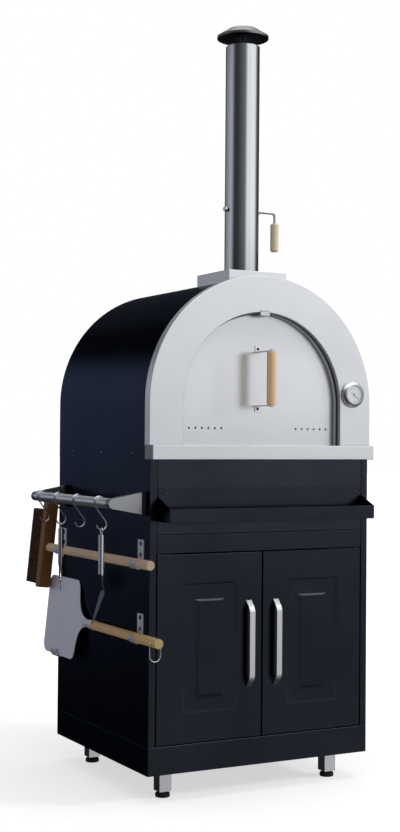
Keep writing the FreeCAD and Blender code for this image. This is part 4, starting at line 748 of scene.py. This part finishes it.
class OVEN_OT_oven_door(bpy.types.Operator):
    """Make the oven door with its rolled edge, brackets and wooden grip"""
    bl_idname = "oven_table.oven_door"
    bl_label = "Oven door"

    def execute(self, context):
        rimmed("oven_door_skin", "steel_door", context.scene.oven_sizes.door_fold)
        self.handle_brackets()
        paint("steel_front", "oven_door_liner")
        paint("wood_oven_grip", "oven_handle_grip")
        paint("screw_black", "oven_handle_bolt")
        return {"FINISHED"}

    def handle_brackets(self):
        """The two bent strips with softened edges, and the black heads that hold them."""
        largest = 0.0125
        shape = solid_copy("oven_handle_brackets")
        bolts = [vert for group in islands(shape) if max(extent(group)[1] - extent(group)[0]) < largest
                 for vert in group]
        bmesh.ops.delete(shape, geom=bolts, context="VERTS")
        least, edge = 0.0009, 0.0004
        round_off(shape, fold_edges(shape, least), edge, 2)
        piece("oven_handle_strips", shape, "bracket_light", "oven_handle_brackets")
        screw_heads("oven_handle_screws", "screw_black", "oven_handle_brackets",
                    lambda radius: radius < largest / 2, False)


class OVEN_OT_thermometer(bpy.types.Operator):
    """Spin the thermometer's bright case, and lay its dial, marks, needle and glass"""
    bl_idname = "oven_table.thermometer"
    bl_label = "Thermometer"

    def execute(self, context):
        low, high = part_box("thermometer_glass")
        middle = (low + high) / 2
        case_low, case_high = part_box("thermometer")
        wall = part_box("fascia")[0].y
        radius, window, out = (case_high.x - case_low.x) / 2, (high.x - low.x) / 2, wall - case_low.y
        centre = Vector((middle.x, wall, middle.z))
        deep, stem = out / 2, 0.003
        profile = [
            (0.0, 0.0), (radius * 0.99, 0.0), (radius, 0.001), (radius * 0.995, out * 0.2),
            (radius * 0.975, out * 0.38), (radius * 0.93, out * 0.58), (radius * 0.87, out * 0.76),
            (radius * 0.8, out * 0.9), (radius * 0.745, out * 0.975), (radius * 0.71, out),
            (window + 0.0012, out), (window + 0.0003, out * 0.96), (window, out * 0.88),
            (window, deep), (0.0, deep),
        ]
        case = turned(profile, 72, centre)
        stem_end = case_high.y - wall
        bmesh.ops.create_cone(case, cap_ends=True, segments=20, radius1=stem, radius2=stem,
                              depth=stem_end, matrix=Matrix.Translation(centre + Vector((0, stem_end / 2, 0)))
                              @ Matrix.Rotation(math.pi / 2, 4, "X"))
        piece("thermometer_case", case, "handle_satin", "thermometer", weighted=False)
        plate = turned([(0.0, 0.0), (window - 0.0001, 0.0), (window - 0.0001, 0.0004), (0.0, 0.0004)], 64,
                       centre - Vector((0, deep, 0)))
        piece("thermometer_dial", plate, "dial_white", "thermometer", instead=False)
        marks = bmesh.new()
        count = context.scene.oven_sizes.dial_marks
        first, sweep = -225.0, 270.0
        for index in range(count):
            angle = math.radians(first + sweep * index / (count - 1))
            long = index % 5 == 0
            reach = 0.0044 if long else 0.0026
            place = (Matrix.Translation(centre - Vector((0, deep + 0.0005, 0)))
                     @ Matrix.Rotation(-angle, 4, "Y")
                     @ Matrix.Translation((window - 0.0028 - reach / 2, 0, 0))
                     @ Matrix.Diagonal((reach, 0.0002, 0.0007 if long else 0.0004, 1.0)))
            bmesh.ops.create_cube(marks, size=1.0, matrix=place)
        piece("thermometer_marks", marks, "dial_ink", "thermometer", instead=False, weighted=False)
        paint("dial_ink", "thermometer_needle")
        paint("dial_glass", "thermometer_glass")
        return {"FINISHED"}


class OVEN_OT_flue(bpy.types.Operator):
    """Finish the flue collar, the chimney and its cap"""
    bl_idname = "oven_table.flue"
    bl_label = "Flue"

    def execute(self, context):
        rounded("flue_collar", "steel_front", context.scene.oven_sizes.fold)
        paint("steel_flue", "flue_spigot", "chimney")
        paint("cap_and_post", "chimney_cap")
        return {"FINISHED"}


class OVEN_OT_damper(bpy.types.Operator):
    """Finish the damper's rod, plate and wooden grip"""
    bl_idname = "oven_table.damper"
    bl_label = "Damper"

    def execute(self, context):
        paint("wire_metal", "damper_rod")
        paint("steel_upright", "damper_plate")
        paint("wood_damper_grip", "damper_grip")
        return {"FINISHED"}


class OVEN_OT_rail(bpy.types.Operator):
    """Finish the side rail, its flared arms and the hooks on it"""
    bl_idname = "oven_table.rail"
    bl_label = "Rail and hooks"

    def execute(self, context):
        paint("rail_satin", "side_rail")
        # The foot plates are painted dark, partly as painted shade.
        paint("arm_and_shaded_foot", "rail_brackets")
        for number in range(1, 5):
            paint("wire_metal", "s_hook_%d" % number)
        return {"FINISHED"}


class OVEN_OT_brackets(bpy.types.Operator):
    """Finish the hooked strips that carry the poles"""
    bl_idname = "oven_table.brackets"
    bl_label = "Pole brackets"

    def execute(self, context):
        paint("bracket_grey", "j_brackets")
        return {"FINISHED"}


class OVEN_OT_screws(bpy.types.Operator):
    """Make each screw head with a sunk socket in its flared top"""
    bl_idname = "oven_table.screws"
    bl_label = "Screw heads"

    def execute(self, context):
        small = 0.005
        screw_heads("skin_screws", "screw_dark", "body_screws", lambda radius: radius < small)
        screw_heads("strip_screws", "hole_black", "body_screws", lambda radius: radius >= small, False)
        return {"FINISHED"}


class OVEN_OT_brush(bpy.types.Operator):
    """Make the brush: its pole, its rounded block and the tufts of stiff bristles"""
    bl_idname = "oven_table.brush"
    bl_label = "Brush"

    def execute(self, context):
        sizes = context.scene.oven_sizes
        rounded("brush_pole", "wood_brush_pole", sizes.wood_edge, segments=4, least=0.001)
        rounded("brush_head", "wood_brush_head", sizes.wood_edge, segments=4)
        self.bristles(sizes)
        return {"FINISHED"}

    def bristles(self, sizes):
        """Tufts in staggered rows, each a bundle of bristles that spreads a little at its end."""
        golden_turn = 2.399963
        solid = solid_copy("brush_bristles")
        low_y = min(vert.co.y for vert in solid.verts)
        corner = min((vert for vert in solid.verts if vert.co.y < low_y + 0.0001), key=lambda vert: vert.co.z)
        runs = [edge.other_vert(corner).co - corner.co for edge in corner.link_edges]
        solid_corner = corner.co.copy()
        out = max(runs, key=lambda run: run.y)
        up = max(runs, key=lambda run: run.z)
        side = [run for run in runs if run not in (out, up)][0]
        solid.free()
        frame_of = Matrix((side.normalized(), out.normalized(), up.normalized())).transposed().to_4x4()
        frame_of.translation = solid_corner
        wide, reach, tall = side.length, out.length, up.length
        chance = random.Random(11)
        field, one = bmesh.new(), bpy.data.meshes.new("one_tuft")
        step_x, step_z = wide / sizes.tuft_rows, tall / sizes.tuft_count
        thick = sizes.bristle_radius
        for row in range(sizes.tuft_rows):
            for index in range(sizes.tuft_count):
                shift = 0.25 if row % 2 else -0.25
                root = ((row + 0.5) * step_x, (index + 0.5 + shift) * step_z)
                tuft = bmesh.new()
                for strand in range(sizes.strands):
                    turn = golden_turn * strand
                    away = math.sqrt((strand + 0.5) / sizes.strands)
                    near, far = 0.36 * away, (0.5 + chance.uniform(-0.04, 0.08)) * away
                    length = reach * (1.0 - abs(chance.gauss(0.0, 0.006)))
                    ends = [Vector((root[0] + part * step_x * math.cos(turn), y,
                                    root[1] + part * step_z * math.sin(turn)))
                            for part, y in ((near, -0.001), (far, length))]
                    for point in ends:
                        point.x = min(max(point.x, thick), wide - thick)
                        point.z = min(max(point.z, thick), tall - thick)
                    run = ends[1] - ends[0]
                    place = (frame_of @ Matrix.Translation((ends[0] + ends[1]) / 2)
                             @ run.to_track_quat("Z", "Y").to_matrix().to_4x4())
                    bmesh.ops.create_cone(tuft, cap_ends=True, segments=4, radius1=thick,
                                          radius2=thick * 0.8, depth=run.length - 0.0002, matrix=place)
                tuft.to_mesh(one)
                tuft.free()
                field.from_mesh(one)
        bpy.data.meshes.remove(one)
        piece("brush_tufts", field, "bristle_brown", "brush_bristles", weighted=False)


class OVEN_OT_peel(bpy.types.Operator):
    """Finish the pizza peel: blade, ferrule, pole and wire loop"""
    bl_idname = "oven_table.peel"
    bl_label = "Pizza peel"

    def execute(self, context):
        paint("blade_satin", "peel_blade", "peel_ferrule")
        rounded("peel_pole", "wood_peel_pole", context.scene.oven_sizes.wood_edge, segments=4, least=0.001)
        paint("wire_metal", "peel_loop")
        return {"FINISHED"}


class OVEN_OT_tools(bpy.types.Operator):
    """Finish the pizza cutter, its wheel and the pizza server"""
    bl_idname = "oven_table.tools"
    bl_label = "Cutter and server"

    def execute(self, context):
        paint("bright_metal", "pizza_cutter", "cutter_wheel")
        paint("server_and_handle", "pizza_server")
        return {"FINISHED"}


# What shiny surfaces see round them: (degrees from straight ahead of the oven to its right, level)
RING = (
    (-180, 0.05), (-170, 0.1), (-160, 0.18), (-148, 0.2), (-126, 0.3), (-108, 0.38), (-97, 0.32),
    (-88, 0.13), (-80, 0.05), (-60, 0.05), (-45, 0.085), (-30, 0.14), (-14, 0.2), (-6, 0.32), (0, 0.75),
    (8, 1.12), (30, 1.12), (40, 1.3), (50, 1.2), (66, 1.15), (75, 0.62), (86, 0.16), (100, 0.06),
    (124, 0.06), (146, 0.03), (160, 0.02), (172, 0.02), (180, 0.04),
)
RING_TOP = 1.3
# How the ring changes below and above the horizon: (height of the direction, share)
LEVELS = ((-1.0, 0.1), (-0.6, 0.2), (-0.35, 0.4), (-0.24, 0.46), (-0.216, 0.85), (-0.2, 0.56),
          (-0.145, 0.27), (-0.1, 0.35), (-0.085, 0.46), (-0.074, 0.6), (-0.05, 0.7), (-0.037, 0.98),
          (0.1, 1.0), (0.15, 1.5), (0.35, 1.5), (0.6, 0.8), (1.0, 0.3))
# The same for the side to the left and behind
SIDE_LEVELS = ((-1.0, 0.3), (-0.45, 0.3), (-0.32, 0.12), (-0.2, 0.04), (-0.17, 0.08), (-0.13, 0.35),
               (-0.1, 0.65), (-0.07, 0.85), (-0.03, 1.4), (0.0, 2.2), (0.1, 2.4), (0.25, 2.2),
               (0.34, 0.1), (0.6, 0.02), (1.0, 0.04))
LEVEL_TOP = 2.4
# That side takes over between these two angles, and its light is a little blue
SIDE_FROM, SIDE_TO = -115, -90
SIDE_TINT = (0.93, 0.97, 1.08)
WHITE = (1.0, 1.0, 1.0)
# The soft light straight above, which only folds that lean up and forward show
OVERHEAD = ((0.0, 0.0), (0.6, 0.0), (0.7, 1.8), (1.0, 1.8))

# The photograph's camera: turn, tilt and roll in degrees, place in metres, and lens
CAMERA_ANGLES = (-28.403, -0.959, 0.437)
CAMERA_PLACE = (-1.9559, -3.5566, 0.9421)
SENSOR = 36.0
LENS_IN_PIXELS = 1410.19
PICTURE_HEIGHT = 832.0


def turn_share(angle):
    """Where an angle of the ring lies in its colour ramp."""
    return (angle + 180.0) / 360.0


class OVEN_OT_studio(bpy.types.Operator):
    """Make the floor, the lamps, the room's light and the camera"""
    bl_idname = "oven_table.studio"
    bl_label = "Studio"

    def execute(self, context):
        studio = context.scene.oven_studio
        self.floor(context, studio.floor)
        self.world(context, studio.room)
        self.lamp(context, "key_lamp", spot=(3.1, -2.3, 1.75), target=(0.0, -0.3, 1.05), size=0.6,
                  power=studio.key)
        self.lamp(context, "top_lamp", spot=(0.2, -0.4, 4.2), target=(0.0, 0.0, 0.0), size=3.0,
                  power=studio.top)
        self.camera(context)
        context.scene.view_settings.view_transform = "Standard"
        return {"FINISHED"}

    def floor(self, context, size):
        """A plain floor that the camera sees as white, with the object's shadow."""
        tree, shader = start_material("studio_floor")
        tree.nodes.remove(shader)
        away = length_of(tree, object_place(tree))
        rise = rescale(tree, away, 0.5, 3.0, 0.62, 1.0, interpolation_type="SMOOTHSTEP")
        glow = add(tree, "ShaderNodeEmission", {"Color": (*WHITE, 1.0), "Strength": rise})
        seen = add(tree, "ShaderNodeBsdfDiffuse", {"Color": (0.5, 0.5, 0.5, 1.0)})
        both = add(tree, "ShaderNodeAddShader", {0: seen, 1: glow})
        plain = add(tree, "ShaderNodeBsdfDiffuse", {"Color": (0.78, 0.78, 0.78, 1.0)})
        path = add(tree, "ShaderNodeLightPath", {}).outputs
        choose = add(tree, "ShaderNodeMixShader", {"Fac": path["Is Camera Ray"], 1: plain, 2: both})
        feed(tree.nodes["Material Output"], {"Surface": choose})
        shape = bmesh.new()
        bmesh.ops.create_grid(shape, x_segments=1, y_segments=1, size=size / 2)
        mesh = bpy.data.meshes.new("studio_floor")
        shape.to_mesh(mesh)
        shape.free()
        mesh.materials.append(bpy.data.materials["studio_floor"])
        ground = bpy.data.objects.new("studio_floor", mesh)
        ground.visible_glossy = False
        context.scene.collection.objects.link(ground)

    def world(self, context, level):
        """Even light, a white background, and a ring of light and dark for metal to reflect."""
        world = bpy.data.worlds.new("studio_world")
        world.use_nodes = True
        tree = world.node_tree
        tree.nodes.clear()
        parts = axes(tree, add(tree, "ShaderNodeTexCoord", {}).outputs["Generated"])
        ahead = number_step(tree, "MULTIPLY", parts["Y"], -1.0)
        turn = rescale(tree, number_step(tree, "ARCTAN2", parts["X"], ahead), -math.pi, math.pi)
        height = rescale(tree, parts["Z"], -1.0, 1.0)

        def greys(stops, top):
            return ramp(tree, height, [((where + 1.0) / 2.0, [part / top] * 3 + [1.0])
                                       for where, part in stops])

        ring = ramp(tree, turn, [
            (turn_share(angle), shade(SIDE_TINT if angle < SIDE_TO else WHITE, light / RING_TOP))
            for angle, light in RING])
        sideways = ramp(tree, turn, [(turn_share(SIDE_FROM), shade(WHITE, 0.0)),
                                     (turn_share(SIDE_TO), shade(WHITE, 1.0))])
        dim = add(tree, "ShaderNodeMix", {0: sideways, 6: greys(SIDE_LEVELS, LEVEL_TOP),
                                          7: greys(LEVELS, LEVEL_TOP)}, data_type="RGBA")
        around = vector_step(tree, "MULTIPLY", ring, dim.outputs[2])
        whole = vector_step(tree, "ADD", around, greys(OVERHEAD, RING_TOP * LEVEL_TOP))
        shiny = add(tree, "ShaderNodeBackground", {"Color": whole, "Strength": RING_TOP * LEVEL_TOP})
        room = add(tree, "ShaderNodeBackground", {"Color": (*WHITE, 1.0), "Strength": level})
        white = add(tree, "ShaderNodeBackground", {"Color": (*WHITE, 1.0), "Strength": 1.0})
        path = add(tree, "ShaderNodeLightPath", {}).outputs
        lit = add(tree, "ShaderNodeMixShader", {"Fac": path["Is Glossy Ray"], 1: room, 2: shiny})
        clear = number_step(tree, "MAXIMUM", path["Is Camera Ray"], path["Is Transmission Ray"])
        last = add(tree, "ShaderNodeMixShader", {"Fac": clear, 1: lit, 2: white})
        add(tree, "ShaderNodeOutputWorld", {"Surface": last})
        context.scene.world = world

    def lamp(self, context, name, spot, target, size, power):
        """A large soft lamp that bright metal doesn't show."""
        data = bpy.data.lights.new(name, "AREA")
        data.size = size
        data.energy = power
        made = bpy.data.objects.new(name, data)
        made.location = spot
        made.rotation_euler = (Vector(target) - Vector(spot)).to_track_quat("-Z", "Y").to_euler()
        made.visible_glossy = False
        made.visible_camera = False
        context.scene.collection.objects.link(made)

    def camera(self, context):
        """The photograph's place, direction and lens."""
        turn, tilt, roll = (math.radians(angle) for angle in CAMERA_ANGLES)
        back = Vector((math.sin(turn) * math.cos(tilt), -math.cos(turn) * math.cos(tilt), math.sin(tilt)))
        level = Vector((math.cos(turn), math.sin(turn), 0.0))
        upright = back.cross(level)
        right = math.cos(roll) * level + math.sin(roll) * upright
        above = back.cross(right)
        data = bpy.data.cameras.new("photo_camera")
        data.sensor_width = SENSOR
        data.lens = SENSOR * LENS_IN_PIXELS / PICTURE_HEIGHT
        data.clip_start, data.clip_end = 0.05, 200.0
        made = bpy.data.objects.new("photo_camera", data)
        axes = Matrix((right, above, back)).transposed().to_4x4()
        made.matrix_world = Matrix.Translation(CAMERA_PLACE) @ axes
        context.scene.collection.objects.link(made)
        context.scene.camera = made


MAKERS = (
    OVEN_OT_cabinet, OVEN_OT_stand, OVEN_OT_doors, OVEN_OT_tray, OVEN_OT_hearth, OVEN_OT_dome,
    OVEN_OT_front, OVEN_OT_oven_door, OVEN_OT_thermometer, OVEN_OT_flue, OVEN_OT_damper, OVEN_OT_rail,
    OVEN_OT_brackets, OVEN_OT_screws, OVEN_OT_brush, OVEN_OT_peel, OVEN_OT_tools, OVEN_OT_studio,
)


class OVEN_PT_sidebar(bpy.types.Panel):
    """Lists the pieces, the sizes, the colours and the studio of the oven table"""
    bl_idname = "OVEN_PT_sidebar"
    bl_label = "Oven Table"
    bl_space_type = "VIEW_3D"
    bl_region_type = "UI"
    bl_category = "Oven Table"

    def draw(self, context):
        for maker in MAKERS:
            self.layout.operator(maker.bl_idname)
        for group in (context.scene.oven_sizes, context.scene.oven_colours, context.scene.oven_studio):
            box = self.layout.box()
            for name in group.__annotations__:
                box.prop(group, name)


CLASSES = (OvenColours, OvenSizes, OvenStudio, OVEN_PT_sidebar) + MAKERS


def register():
    for item in CLASSES:
        bpy.utils.register_class(item)
    bpy.types.Scene.oven_colours = PointerProperty(type=OvenColours)
    bpy.types.Scene.oven_sizes = PointerProperty(type=OvenSizes)
    bpy.types.Scene.oven_studio = PointerProperty(type=OvenStudio)


def unregister():
    del bpy.types.Scene.oven_studio
    del bpy.types.Scene.oven_sizes
    del bpy.types.Scene.oven_colours
    for item in reversed(CLASSES):
        bpy.utils.unregister_class(item)


def main():
    register()
    for maker in MAKERS:
        group, name = maker.bl_idname.split(".")
        getattr(getattr(bpy.ops, group), name)()


if __name__ == "__main__":
    main()
